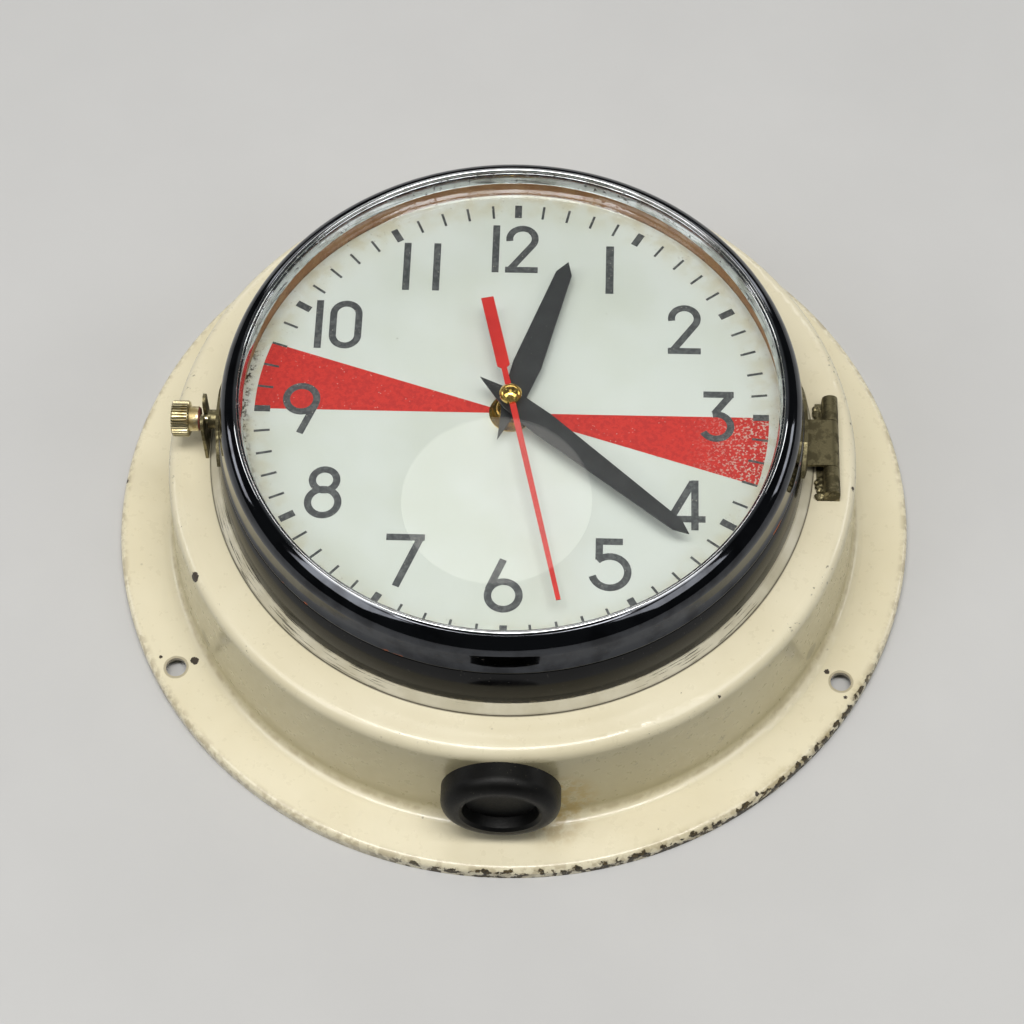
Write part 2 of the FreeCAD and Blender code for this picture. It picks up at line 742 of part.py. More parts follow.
STEP_DISTANCE = 10.5
ROTOR_DISTANCE = 9.0
THIRD_DISTANCE = 12.24
MOTION_DISTANCE = 9.6
SETTING_DISTANCE = 10.8
SETTING_ANGLE = -45


def around(x, y, distance, degrees):
    return x + distance * math.cos(math.radians(degrees)), y + distance * math.sin(math.radians(degrees))


TRAIN = value("train_angle")
THIRD = value("third_angle")
STEP_AT = around(0, 0, STEP_DISTANCE, TRAIN)
ROTOR_AT = around(*STEP_AT, ROTOR_DISTANCE, TRAIN)
THIRD_AT = around(0, 0, THIRD_DISTANCE, THIRD)
MOTION_AT = (0.0, -MOTION_DISTANCE)
SETTING_AT = around(*MOTION_AT, SETTING_DISTANCE, SETTING_ANGLE)
PIVOT_FLOOR = value("movement_rear + movement_wall")
PIVOT_ROOF = value("movement_front - movement_wall")


def level(height):
    """Heights in the movement are counted down from its front face."""
    return value("movement_front") - height


def train():
    clear = value("running_clearance")
    thin = value("arbor_radius")
    seconds_radius = value("seconds_arbor_radius")
    pivot = PIVOT_FLOOR + 0.4

    rotor_phase = 0.0
    step_phase = meshed(12, rotor_phase, 60, TRAIN + 180)
    seconds_phase = meshed(10, 0.0, 60, TRAIN + 180)
    third_phase = meshed(8, 0.0, 60, THIRD)
    centre_phase = meshed(8, 0.0, 64, THIRD + 180)
    motion_phase = meshed(12, 0.0, 36, -90)
    hour_phase = meshed(10, 0.0, 40, 90)
    setting_phase = meshed(36, motion_phase, 18, SETTING_ANGLE)

    rotor = Part.makeCylinder(3.0, 1.4, FreeCAD.Vector(*ROTOR_AT, level(13.6)))
    rotor = rotor.fuse([toothed(12, 0.25, rotor_phase, level(12), 1.0, *ROTOR_AT),
                        arbor(0.7, level(12.3), level(11.9), *ROTOR_AT),
                        arbor(thin, pivot, level(8.8), *ROTOR_AT)])
    solid("rotor_solid", rotor, "rotor")

    step = toothed(60, 0.25, step_phase, level(11.8), 0.6, *STEP_AT)
    step = step.fuse([toothed(10, 0.3, 0.0, level(10.5), 1.2, *STEP_AT),
                      arbor(0.9, level(11.3), level(10.4), *STEP_AT),
                      arbor(thin, pivot, level(8.8), *STEP_AT)])
    solid("step_solid", step, "step_wheel")

    tip = value("second_hand_height + second_hand_sheet")
    seconds = toothed(60, 0.3, seconds_phase, level(10.3), 0.8)
    seconds = seconds.fuse([toothed(8, 0.36, 0.0, level(8.5), 1.2),
                            arbor(thin, pivot, level(13)),
                            arbor(seconds_radius, level(13), tip)])
    solid("seconds_solid", seconds, "seconds_wheel")

    third = toothed(60, 0.36, third_phase, level(8.3), 0.8, *THIRD_AT)
    third = third.fuse([toothed(8, 0.34, 0.0, level(6.5), 1.2, *THIRD_AT),
                        arbor(0.9, level(7.6), level(6.4), *THIRD_AT),
                        arbor(thin, pivot, PIVOT_ROOF + 0.6, *THIRD_AT)])
    solid("third_solid", third, "third_wheel")

    sleeve = 1.2
    centre = toothed(64, 0.34, centre_phase, level(6.3), 0.8)
    solid("centre_solid", centre.cut(arbor(sleeve + clear, level(7), level(5))), "centre_wheel")

    minute_radius = value("minute_tube_radius")
    minute_top = value("minute_hand_height + hand_sheet")
    minute = toothed(12, 0.4, 0.0, level(4.9), 1.0)
    minute = minute.fuse([arbor(sleeve, level(6.7), level(4.9)), arbor(minute_radius, level(3.9), minute_top)])
    solid("minute_solid", minute.cut(arbor(seconds_radius + clear, level(9), minute_top + 1)), "minute_tube")

    motion = toothed(36, 0.4, motion_phase, level(4.9), 1.0, *MOTION_AT)
    motion = motion.fuse([toothed(10, 0.384, 0.0, level(3.5), 1.2, *MOTION_AT),
                          arbor(1.2, level(4), level(3.4), *MOTION_AT),
                          arbor(thin, level(5.2), PIVOT_ROOF + 0.6, *MOTION_AT)])
    solid("motion_solid", motion, "motion_wheel")

    hour_radius = value("hour_tube_radius")
    hour_top = value("hour_hand_height + hand_sheet")
    hour = toothed(40, 0.384, hour_phase, level(3.3), 0.8)
    hour = hour.fuse(arbor(hour_radius, level(3.3), hour_top))
    solid("hour_solid", hour.cut(arbor(minute_radius + clear, level(9), hour_top + 1)), "hour_wheel")

    setting = toothed(18, 0.4, setting_phase, level(4.9), 1.0, *SETTING_AT)
    setting = setting.fuse([arbor(1.5, value("movement_rear - knob_length"), level(4.5), *SETTING_AT),
                            arbor(thin, level(5), PIVOT_ROOF + 0.6, *SETTING_AT)])
    solid("setting_solid", setting, "setting_gear")
    knob_gap = 0.3
    knob = arbor(value("knob_radius"), value("movement_rear - knob_length") - knob_gap,
                 value("movement_rear") - knob_gap, *SETTING_AT)
    knob = knob.cut(setting)
    ribs = [Part.makeCylinder(0.35, 20, FreeCAD.Vector(*around(*SETTING_AT, value("knob_radius"), 15 * i), 38))
            for i in range(24)]
    solid("knob_solid", knob.cut(ribs), "setting_knob")


# ---------------------------------------------------------------- movement body


def movement_box():
    wide = "movement_half_width"
    wall = "movement_wall"
    front_tub = cut("front_tub",
                    block("front_blank", f"-{wide}", wide, "-movement_low_y", "movement_top_y", "movement_split",
                          "movement_front"),
                    block("front_room", f"-({wide} - {wall})", f"{wide} - {wall}", f"-(movement_low_y - {wall})",
                          f"movement_top_y - {wall}", "movement_split", f"movement_front - {wall}"))
    front_ways = [rod("bushing_way", "bushing_radius", "3 * movement_wall", "0", "0", "movement_front - 2 * movement_wall")]
    for i, spot in enumerate((THIRD_AT, MOTION_AT, SETTING_AT)):
        front_ways.append(rod(f"front_pivot_{i}", "arbor_radius + running_clearance", "0.7", spot[0], spot[1],
                              f"movement_front - {wall}"))
    keep(cut("front_case_bored", front_tub, joined("front_ways", *front_ways)), "movement_front_case")
    rear_tub = cut("rear_tub",
                   block("rear_blank", f"-{wide}", wide, "-movement_low_y", "movement_top_y", "movement_rear",
                         "movement_split"),
                   block("rear_room", f"-({wide} - {wall})", f"{wide} - {wall}", f"-(movement_low_y - {wall})",
                         f"movement_top_y - {wall}", f"movement_rear + {wall}", "movement_split"))
    bosses, ways = [], []
    floor = f"movement_rear + {wall}"
    for i, spot in enumerate(((0.0, 0.0), STEP_AT, ROTOR_AT, THIRD_AT)):
        bosses.append(rod(f"rear_boss_{i}", "1.3", "1", spot[0], spot[1], floor))
        ways.append(rod(f"rear_pivot_{i}", "arbor_radius + running_clearance", "1", spot[0], spot[1], f"{floor} + 0.2"))
    ways.append(rod("setting_way", "1.5 + running_clearance", f"3 * {wall}", SETTING_AT[0], SETTING_AT[1],
                    f"movement_rear - {wall}"))
    keep(cut("rear_cover_bored", joined("rear_with_bosses", rear_tub, *bosses), joined("rear_ways", *ways)),
         "movement_rear_cover")


def centre_fixing():
    bore = "hour_tube_radius + running_clearance"
    top = "bushing_top"
    inside = "movement_front - movement_wall"
    keep(turned("bushing", [
        (bore, f"{inside} - 0.6"),
        ("bushing_flange_radius", f"{inside} - 0.6"),
        ("bushing_flange_radius", inside),
        ("bushing_radius", inside),
        ("bushing_radius", f"{top} - 0.4"),
        ("bushing_radius - 0.4", top),
        (bore, top),
    ]), "movement_bushing")
    keep(washer("cushion", "cushion_outer_radius", "bushing_radius", "dial_height - dial_sheet - movement_front", "0",
                "0", "movement_front"), "movement_cushion")
    keep(washer("brass_washer", "centre_washer_radius", "bushing_radius", "centre_washer_sheet", "0", "0",
                "dial_height"), "centre_washer")
    nut = doc.addObject("Part::Prism", "nut_blank")
    nut.Polygon = 6
    bind(nut, "Circumradius", "centre_nut_across / 2 / cos(30)")
    bind(nut, "Height", "centre_nut_height")
    put(nut, "0", "0", "dial_height + centre_washer_sheet")
    bore_rod = rod("nut_bore", "bushing_radius", "3 * centre_nut_height", "0", "0", "dial_height")
    keep(cut("nut_bored", nut, bore_rod), "centre_nut")


def motor_and_circuit():
    plate_low, plate_thick = "movement_front - 9.2", "0.5"
    plate_blank = block("train_plate_blank", "-25.5", "25.5", "-6", "18", plate_low, f"{plate_low} + {plate_thick}")
    holes = [rod("plate_centre_way", "seconds_arbor_radius + running_clearance", "3", "0", "0", "movement_front - 10")]
    for i, spot in enumerate((STEP_AT, ROTOR_AT, THIRD_AT)):
        holes.append(rod(f"plate_pivot_{i}", "arbor_radius + running_clearance", "3", spot[0], spot[1],
                         "movement_front - 10"))
    keep(cut("train_plate_bored", plate_blank, joined("train_plate_ways", *holes)), "train_plate")

    low, high = "movement_front - 13.2", "movement_front - 12.2"
    frame = block("stator_blank", "-26.4", "-5.4", "-12", "14.5", low, high)
    window = block("stator_window", "-23.4", "-8.4", "-9", "3", "movement_front - 16", "movement_front - 8")
    rotor_way = rod("stator_rotor_way", "3.4", "6", ROTOR_AT[0], ROTOR_AT[1], "movement_front - 16")
    step_way = rod("stator_step_way", "0.9", "6", STEP_AT[0], STEP_AT[1], "movement_front - 16")
    keep(cut("stator_cut", frame, joined("stator_ways", window, rotor_way, step_way)), "stator_plate")

    axis_y, axis_z = "-10.5", "movement_front - 12.7"
    core = block("core_way", "-24", "-7", "-12", "-9", low, high)
    spool = joined("spool", rod("spool_tube", "2", "13.4", "-9.2", axis_y, axis_z, ALONG_MINUS_X),
                   rod("spool_end_near", "2.9", "0.8", "-8.9", axis_y, axis_z, ALONG_MINUS_X),
                   rod("spool_end_far", "2.9", "0.8", "-22.1", axis_y, axis_z, ALONG_MINUS_X))
    keep(cut("spool_bored", spool, core), "coil_bobbin")
    keep(washer("winding", "2.7", "2", "12.4", "-9.7", axis_y, axis_z, ALONG_MINUS_X), "coil_winding")

    board_low = "movement_rear + movement_wall + 0.8"
    keep(block("board", "12.6", "27.2", "-14", "16", board_low, f"{board_low} + 0.8"), "circuit_board")
    keep(rod("crystal", "1.2", "7", "20", "-2", f"{board_low} + 2", ALONG_MINUS_Y), "quartz_crystal")
    keep(block("chip", "17", "23", "4", "10", f"{board_low} + 0.8", f"{board_low} + 1.9"), "control_chip")

    half = "battery_length / 2"
    cell = joined("cell", rod("cell_can", "battery_radius", "battery_length - 1.2", f"-({half})", "-battery_y",
                              "battery_height", ALONG_X),
                  rod("cell_button", "2.6", "1.2", f"{half} - 1.2", "-battery_y", "battery_height", ALONG_X))
    keep(cell, "battery")
    keep(block("contact_blank", half, f"{half} + 0.5", "-(battery_y + 4)", "-(battery_y - 4)",
               "battery_height - 6", "battery_height + 5"), "battery_contact_positive")
    spring = joined("spring_contact",
                    block("spring_plate", f"-({half} + 2)", f"-({half} + 1.5)", "-(battery_y + 4)",
                          "-(battery_y - 4)", "battery_height - 6", "battery_height + 5"),
                    washer("spring_turn", "3", "2.2", "1.5", f"-({half} + 1.5)", "-battery_y", "battery_height",
                           ALONG_X))
    keep(spring, "battery_contact_negative")


# ---------------------------------------------------------------- hands


def turned_clockwise(thing, turn_name):
    """Turns a hand drawn along +Y to its place on the dial, clockwise from 12."""
    bind(thing, ".Placement.Rotation.Angle", f"-{turn_name}")


def hands():
    hour = sawn("hour_blade", [
        ("0", "-14"), ("2.1", "-4.2"), ("3.6", "0"), ("4.9", "17"), ("2.8", "hour_hand_length - 5"),
        ("0", "hour_hand_length"),
        ("-2.8", "hour_hand_length - 5"), ("-4.9", "17"), ("-3.6", "0"), ("-2.1", "-4.2"),
    ], "hour_hand_height", "hand_sheet")
    minute = sawn("minute_blade", [
        ("0", "-13.6"), ("2.7", "-4.2"), ("3.8", "1"), ("4.5", "14"), ("2.3", "minute_hand_length - 5"),
        ("0", "minute_hand_length"),
        ("-2.3", "minute_hand_length - 5"), ("-4.5", "14"), ("-3.8", "1"), ("-2.7", "-4.2"),
    ], "minute_hand_height", "hand_sheet")
    second_plan = sawn("second_plan", [
        ("1.05", "0"), ("0.75", "second_hand_length"), ("-0.75", "second_hand_length"), ("-1.05", "0"),
        ("-0.9", "-11"), ("-2.1", "-12"), ("-2.1", "-second_tail_length"), ("2.1", "-second_tail_length"),
        ("2.1", "-12"), ("0.9", "-11"),
    ], "second_hand_height - 4", "8")
    tail_droop = "second_hand_droop * second_tail_length / second_hand_length"
    low, high = "second_hand_height", "second_hand_height + second_hand_sheet"
    flat = "3"
    second_side = sawn("second_side", [
        (f"-{flat}", low), (flat, low), ("second_hand_length", f"{low} - second_hand_droop"),
        ("second_hand_length", f"{high} - second_hand_droop"), (flat, high), (f"-{flat}", high),
        ("-second_tail_length", f"{high} - {tail_droop}"), ("-second_tail_length", f"{low} - {tail_droop}"),
    ], "-5", "10", "YZ")
    blade = shared("second_blade", second_plan, second_side)
    boss = rod("second_boss", "2", "second_hand_sheet", "0", "0", low)
    second = joined("second_blank", blade, boss)
    for thing, bore, label, low, turn in (
        (hour, "hour_tube_radius", "hour_hand", "hour_hand_height", "hour_hand_turn"),
        (minute, "minute_tube_radius", "minute_hand", "minute_hand_height", "minute_hand_turn"),
        (second, "seconds_arbor_radius", "second_hand", "second_hand_height", "second_hand_turn"),
    ):
        drilled = cut(label + "_bored", thing, rod(label + "_bore", bore, "3", "0", "0", f"{low} - 1"))
        turned_clockwise(drilled, turn)
        keep(drilled, label)
    top = "second_hand_height + second_hand_sheet"
    keep(turned("brass_cap", [
        ("0", f"{top}"),
        ("cap_radius", f"{top}"),
        ("cap_radius", f"{top} + cap_height * 0.35"),
        ("0", f"{top} + cap_height", "(cap_radius^2 + (cap_height * 0.65)^2) / (cap_height * 1.3)", 1),
    ]), "second_hand_cap")


case_shell()
back()
seat_and_neck()
cable_hole_plug()
bezel()
hinge()
latch()
movement_box()
centre_fixing()
motor_and_circuit()
train()
hands()
doc.recompute()

# ---------------------------------------------------------------- checks and files


def faults():
    """Everything that the document or a sub-part's shape has wrong."""
    found = [f"{o.Name}: {o.State}" for o in doc.Objects if {"Invalid", "Error"} & set(o.State)]
    labels = [o.Label for o in nodes]
    found += [f"{name} is there twice" for name in set(labels) if labels.count(name) > 1]
    for thing in nodes:
        shape = thing.Shape
        if shape.isNull() or not shape.isValid() or not shape.Solids:
            found.append(f"{thing.Label}: no valid solid")
        elif shape.Volume <= 0:
            found.append(f"{thing.Label}: volume {shape.Volume}")
    return found


wrong = faults()
if wrong:
    raise RuntimeError("\n".join(wrong))
os.makedirs("parts", exist_ok=True)
for thing in nodes:
    thing.Shape.exportStep(f"parts/{thing.Label}.step")
print(len(nodes), "sub-parts written")
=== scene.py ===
"""The visual model of a ships deck clock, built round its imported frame.

Lengths are in millimetres until a mesh is made, and angles in degrees. The frame has +Z out of the dial,
+Y towards 12 o'clock and +X towards 3 o'clock.
"""

import json
import math
import random

import bmesh
import bpy
from mathutils import Matrix, Vector


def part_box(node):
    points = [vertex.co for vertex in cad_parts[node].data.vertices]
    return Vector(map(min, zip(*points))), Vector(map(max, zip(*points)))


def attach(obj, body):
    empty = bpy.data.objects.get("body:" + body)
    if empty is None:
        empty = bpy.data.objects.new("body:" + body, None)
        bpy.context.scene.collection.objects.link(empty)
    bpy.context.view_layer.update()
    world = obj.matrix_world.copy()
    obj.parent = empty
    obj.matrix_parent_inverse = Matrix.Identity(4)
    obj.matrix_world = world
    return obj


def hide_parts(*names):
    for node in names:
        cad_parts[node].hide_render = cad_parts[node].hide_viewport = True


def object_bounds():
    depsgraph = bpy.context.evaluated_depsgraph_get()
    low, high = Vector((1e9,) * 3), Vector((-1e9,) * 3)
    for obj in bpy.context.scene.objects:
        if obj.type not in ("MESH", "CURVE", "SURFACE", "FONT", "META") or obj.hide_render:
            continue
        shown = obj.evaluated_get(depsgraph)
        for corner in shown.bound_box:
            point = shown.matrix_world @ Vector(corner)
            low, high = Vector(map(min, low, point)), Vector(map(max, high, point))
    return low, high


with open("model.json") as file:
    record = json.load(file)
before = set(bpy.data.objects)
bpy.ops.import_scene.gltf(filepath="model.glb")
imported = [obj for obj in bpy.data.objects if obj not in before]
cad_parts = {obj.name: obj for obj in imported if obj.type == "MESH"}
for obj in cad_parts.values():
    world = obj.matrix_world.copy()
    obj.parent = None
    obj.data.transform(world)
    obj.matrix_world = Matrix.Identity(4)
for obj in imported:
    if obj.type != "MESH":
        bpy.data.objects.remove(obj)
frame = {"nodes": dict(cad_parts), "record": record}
cad_box = [list(corner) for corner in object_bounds()]

MM = 0.001
AROUND = 288  # steps round a turned piece

# The dial
DIAL_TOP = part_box("dial_plate")[1].z / MM
TICK_INSIDE = 80.2
TICK_OUTSIDE = 85.5
MINUTE_TICK = 0.85
HOUR_TICK = 2.4
STROKE = 2.4
LONE_STROKE = 2.7  # the 1 is a little bolder
HUB_CLEAR = 6.0
SECTOR_STARTS = (90, 270)  # clockwise from 12 o'clock
SECTOR_WIDTH = 18

# The bezel, from its CAD ring
BEZEL_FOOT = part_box("bezel_ring")[0].z / MM
SKIRT_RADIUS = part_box("bezel_ring")[1].x / MM
CREASE_RADIUS = 97.2
CREASE_HEIGHT = 66.9
CROWN_WAIST = (96.75, 71.5)
CROWN_FOOT = (96.3, 75.0)
CROWN_TOP = (91.31, 81.8)
CROWN_CURVE = 7.2
BEAD_CENTRE = (90.75, 81.35)
BEAD_RADIUS = 0.72
GROOVE = [(89.98, 81.05), (89.72, 80.86), (89.5, 81.06), (89.38, 80.95)]
LIP_RADIUS = 88.6
LIP_HEIGHT = 77.2
POCKET_RADIUS = 94.4
POCKET_TOP = 75.27
RETAINER_RADIUS = 95.6
GASKET_FOOT = 72.0
SKIRT_WALL = 1.5

# The case
HOLE_CIRCLE = 130.5
HOLE_TURNS = (90, 210, 330)
FLANGE_TOP = 5.0

# The thumbscrew
LATCH_HEIGHT = (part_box("latch_screw")[0].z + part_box("latch_screw")[1].z) / 2 / MM
HEAD_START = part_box("latch_screw")[0].x / MM + 5.6
KNURL_COUNT = 36

# The glass
GLASS_TOP = 87.0
GLASS_SHEET = 2.2
GLASS_RADIUS = 94.0
GLASS_SPHERE = 382.6


# ---------------------------------------------------------------- colour and node helpers


def rgb(red, green, blue):
    """A linear colour from three 8-bit values."""
    linear = []
    for part in (red, green, blue):
        share = part / 255
        linear.append(share / 12.92 if share <= 0.04045 else ((share + 0.055) / 1.055) ** 2.4)
    return (*linear, 1.0)


class Finish:
    """A node material being built. Its places are in millimetres in the object's own frame."""

    def __init__(self, name, roughness=0.5, metallic=0.0, coat=0.0, specular=0.5):
        self.material = bpy.data.materials.new(name)
        self.material.use_nodes = True
        self.nodes = self.material.node_tree.nodes
        self.links = self.material.node_tree.links
        self.nodes.clear()
        self.output = self.nodes.new("ShaderNodeOutputMaterial")
        self.shader = self.nodes.new("ShaderNodeBsdfPrincipled")
        self.links.new(self.shader.outputs["BSDF"], self.output.inputs["Surface"])
        self.shader.inputs["Roughness"].default_value = roughness
        self.shader.inputs["Metallic"].default_value = metallic
        self.shader.inputs["Specular IOR Level"].default_value = specular
        self.shader.inputs["Coat Weight"].default_value = coat
        self.shader.inputs["Coat Roughness"].default_value = 0.12
        source = self.nodes.new("ShaderNodeTexCoord")
        scale = self.nodes.new("ShaderNodeVectorMath")
        scale.operation = "SCALE"
        scale.inputs["Scale"].default_value = 1 / MM
        self.links.new(source.outputs["Object"], scale.inputs[0])
        self.place = scale.outputs["Vector"]
        split = self.nodes.new("ShaderNodeSeparateXYZ")
        self.links.new(self.place, split.inputs[0])
        self.x, self.y, self.z = split.outputs
        self.radius = self.calc("SQRT", self.calc("ADD", self.calc("MULTIPLY", self.x, self.x),
                                                  self.calc("MULTIPLY", self.y, self.y)))

    def put(self, socket, value):
        if isinstance(value, bpy.types.NodeSocket):
            self.links.new(value, socket)
        else:
            socket.default_value = value

    def calc(self, operation, *values):
        node = self.nodes.new("ShaderNodeMath")
        node.operation = operation
        for socket, value in zip(node.inputs, values):
            self.put(socket, value)
        return node.outputs[0]

    def times(self, *values):
        result = values[0]
        for value in values[1:]:
            result = self.calc("MULTIPLY", result, value)
        return result

    def most(self, *values):
        result = values[0]
        for value in values[1:]:
            result = self.calc("MAXIMUM", result, value)
        return result

    def step(self, value, start, end):
        """0 at start and 1 at end, smooth between them. The start may be the higher of the two."""
        node = self.nodes.new("ShaderNodeMapRange")
        node.interpolation_type = "SMOOTHSTEP"
        self.put(node.inputs["Value"], value)
        node.inputs["From Min"].default_value = start
        node.inputs["From Max"].default_value = end
        return node.outputs["Result"]

    def band(self, value, low, high, soft):
        """1 between low and high, and 0 further away than soft."""
        return self.times(self.step(value, low - soft, low), self.step(value, high + soft, high))

    def vector(self, x, y, z):
        node = self.nodes.new("ShaderNodeCombineXYZ")
        for socket, value in zip(node.inputs, (x, y, z)):
            self.put(socket, value)
        return node.outputs[0]

    def noise(self, size, detail=3.0, where=None, roughness=0.55):
        """Smooth noise from 0 to 1, mostly near the middle, with features about size wide."""
        node = self.nodes.new("ShaderNodeTexNoise")
        node.inputs["Scale"].default_value = 1 / size
        node.inputs["Detail"].default_value = detail
        node.inputs["Roughness"].default_value = roughness
        self.put(node.inputs["Vector"], where or self.place)
        return node.outputs["Fac"]

    def specks(self, spacing, size, where=None):
        """Round specks, 1 inside, scattered about spacing apart."""
        node = self.nodes.new("ShaderNodeTexVoronoi")
        node.inputs["Scale"].default_value = 1 / spacing
        self.put(node.inputs["Vector"], where or self.place)
        return self.step(node.outputs["Distance"], size / spacing, 0.6 * size / spacing)

    def spot(self, x, y, z, size, soft=0.5, rough=0.0):
        """1 within size of a point, with an edge that noise makes ragged."""
        node = self.nodes.new("ShaderNodeVectorMath")
        node.operation = "DISTANCE"
        self.put(node.inputs[0], self.place)
        node.inputs[1].default_value = (x, y, z)
        distance = node.outputs["Value"]
        if rough:
            ragged = self.calc("SUBTRACT", self.noise(size * 0.8), 0.5)
            distance = self.calc("ADD", distance, self.times(ragged, rough))
        return self.step(distance, size + soft, size)

    def turn(self):
        """The angle round Z in degrees, from +X towards +Y."""
        return self.calc("MULTIPLY", self.calc("ARCTAN2", self.y, self.x), 180 / math.pi)

    def rings(self, length, width):
        """Noise drawn out round Z, like scratches from turning: length round it and width across it."""
        around = self.times(self.turn(), math.pi / 180 * 100 / length)
        across, up = self.times(self.radius, 1 / width), self.times(self.z, 1 / width)
        return self.noise(1.0, 3.0, self.vector(across, around, up))

    def mix(self, factor, first, second):
        node = self.nodes.new("ShaderNodeMix")
        node.data_type = "RGBA"
        self.put(node.inputs[0], factor)
        self.put(node.inputs[6], first)
        self.put(node.inputs[7], second)
        return node.outputs[2]

    def blend(self, factor, first, second):
        node = self.nodes.new("ShaderNodeMix")
        self.put(node.inputs[0], factor)
        self.put(node.inputs[2], first)
        self.put(node.inputs[3], second)
        return node.outputs[0]

    def colour(self, value):
        self.put(self.shader.inputs["Base Color"], value)

    def roughness(self, value):
        self.put(self.shader.inputs["Roughness"], value)

    def bump(self, height, depth):
        """Bump of that depth in millimetres."""
        node = self.nodes.new("ShaderNodeBump")
        node.inputs["Strength"].default_value = 1.0
        node.inputs["Distance"].default_value = depth * MM
        self.put(node.inputs["Height"], height)
        self.links.new(node.outputs["Normal"], self.shader.inputs["Normal"])


# ---------------------------------------------------------------- finishes


def cream_enamel():
    finish = Finish("cream_enamel", coat=0.35)
    x, y, z, radius = finish.x, finish.y, finish.z, finish.radius
    turn = finish.turn()
    cloud = finish.noise(45)
    grain = finish.noise(3.2, 4)
    fine = finish.noise(0.9, 4)
    paint = finish.mix(finish.step(cloud, 0.35, 0.7), rgb(226, 218, 190), rgb(219, 210, 180))
    wall = finish.times(finish.band(z, 9, 41, 5), finish.band(radius, 112, 122, 2))
    # Painted shade: the hub's upright wall is mixed towards a darker olive, which stands in for the shade it
    # lies in under the overhead light.
    paint = finish.mix(finish.times(wall, 0.7), paint, rgb(168, 158, 116))
    # Darker brown in patches along the corner at the foot of the wall.
    corner = finish.times(finish.band(radius, 117.4, 119.4, 1.4), finish.step(z, 8.6, 5.4))
    paint = finish.mix(finish.times(corner, finish.step(grain, 0.35, 0.65), 0.5), paint, rgb(140, 122, 80))
    seam = finish.times(finish.band(radius, 100.5, 102.1, 0.5), finish.step(z, 45.5, 46.3))
    paint = finish.mix(finish.times(seam, 0.85), paint, rgb(58, 50, 34))
    stain = finish.times(finish.spot(17, -118, 16, 9, 9), finish.step(grain, 0.35, 0.6))
    paint = finish.mix(finish.times(stain, 0.6), paint, rgb(170, 140, 60))
    for side in (-1, 1):
        weld = finish.spot(side * 103.5, -59.8, 15, 2.9, 1.2)
        paint = finish.mix(finish.times(weld, 0.42), paint, rgb(92, 88, 62))
    smears = finish.times(finish.step(finish.noise(7, 5), 0.6, 0.72), finish.step(fine, 0.4, 0.6),
                          finish.band(turn, -90, -40, 8), wall)
    paint = finish.mix(finish.times(smears, 0.7), paint, rgb(86, 80, 56))
    flecks = finish.times(finish.specks(7, 0.55), finish.step(finish.noise(23), 0.5, 0.66))
    paint = finish.mix(finish.times(flecks, 0.75), paint, rgb(96, 84, 58))
    edge = finish.step(radius, 134.6, 137.6)
    rim_dirt = finish.times(edge, finish.step(grain, 0.44, 0.6))
    paint = finish.mix(finish.times(rim_dirt, 0.45), paint, rgb(140, 122, 84))
    worn_side = finish.band(turn, -100, -30, 12)
    worst_side = finish.band(turn, -64, -34, 9)
    reach = finish.calc("ADD", finish.times(finish.step(radius, 135.6, 138.0), 0.3),
                        finish.times(worst_side, 0.05))
    eaten = finish.step(finish.calc("ADD", reach, finish.noise(3, 6)), 0.78, 0.83)
    rust_mask = finish.times(worn_side, eaten)
    rust = finish.mix(finish.step(fine, 0.35, 0.65), rgb(34, 30, 20), rgb(84, 70, 40))
    halo = finish.times(worst_side, finish.step(radius, 133.5, 137.5),
                        finish.step(finish.noise(8, 4), 0.35, 0.6))
    paint = finish.mix(finish.times(halo, 0.6), paint, rgb(160, 144, 96))
    chips = [
        finish.spot(-106.9, -62.6, 5, 1.3, 0.25, 1.4),
        finish.spot(-118.6, -61.4, 5, 0.5, 0.2, 0.8),
        finish.spot(108.4, -61.6, 5, 0.85, 0.2, 1.2),
        finish.spot(114.4, -71.2, 5, 0.5, 0.2, 1.0),
        finish.spot(-103.9, -52.3, 44.6, 1.7, 0.25, 2.2),
        finish.spot(70, -92.6, 44.9, 0.55, 0.2, 1.0),
        finish.spot(115.9, 13.4, 45, 0.8, 0.2, 1.2),
        finish.spot(115.8, -13, 45, 1.0, 0.2, 1.4),
        finish.spot(0, -137, 3, 0.9, 0.2, 1.2),
        finish.spot(-136.8, 9, 3.5, 0.9, 0.2, 1.2),
        finish.spot(84, -107.5, 4.2, 0.8, 0.2, 1.2),
    ]
    chip = finish.most(*chips)
    steel = finish.mix(fine, rgb(34, 28, 22), rgb(78, 68, 56))
    worn = finish.times(finish.step(finish.noise(1.6, 5), 0.62, 0.66), finish.band(radius, 113.6, 116.8, 0.6),
                        finish.band(z, 43, 46.2, 0.7), finish.step(finish.noise(14), 0.52, 0.62))
    paint = finish.mix(finish.times(worn, 0.7), paint, rgb(84, 78, 60))
    # Darker brown round and in the screw holes in the flange.
    holes = finish.most(*[finish.spot(HOLE_CIRCLE * math.cos(math.radians(angle)),
                                      HOLE_CIRCLE * math.sin(math.radians(angle)), FLANGE_TOP, 4.1, 0.4, 0.6)
                          for angle in HOLE_TURNS])
    paint = finish.mix(finish.times(holes, 0.55), paint, rgb(120, 108, 82))
    paint = finish.mix(rust_mask, paint, rust)
    finish.colour(finish.mix(chip, paint, steel))
    bare = finish.most(chip, rust_mask)
    finish.roughness(finish.blend(bare, finish.blend(finish.step(grain, 0.3, 0.7), 0.26, 0.4), 0.8))
    orange_peel = finish.times(finish.noise(2.6, 1), 0.3)
    finish.bump(finish.calc("SUBTRACT", orange_peel, bare), 0.12)
    return finish.material


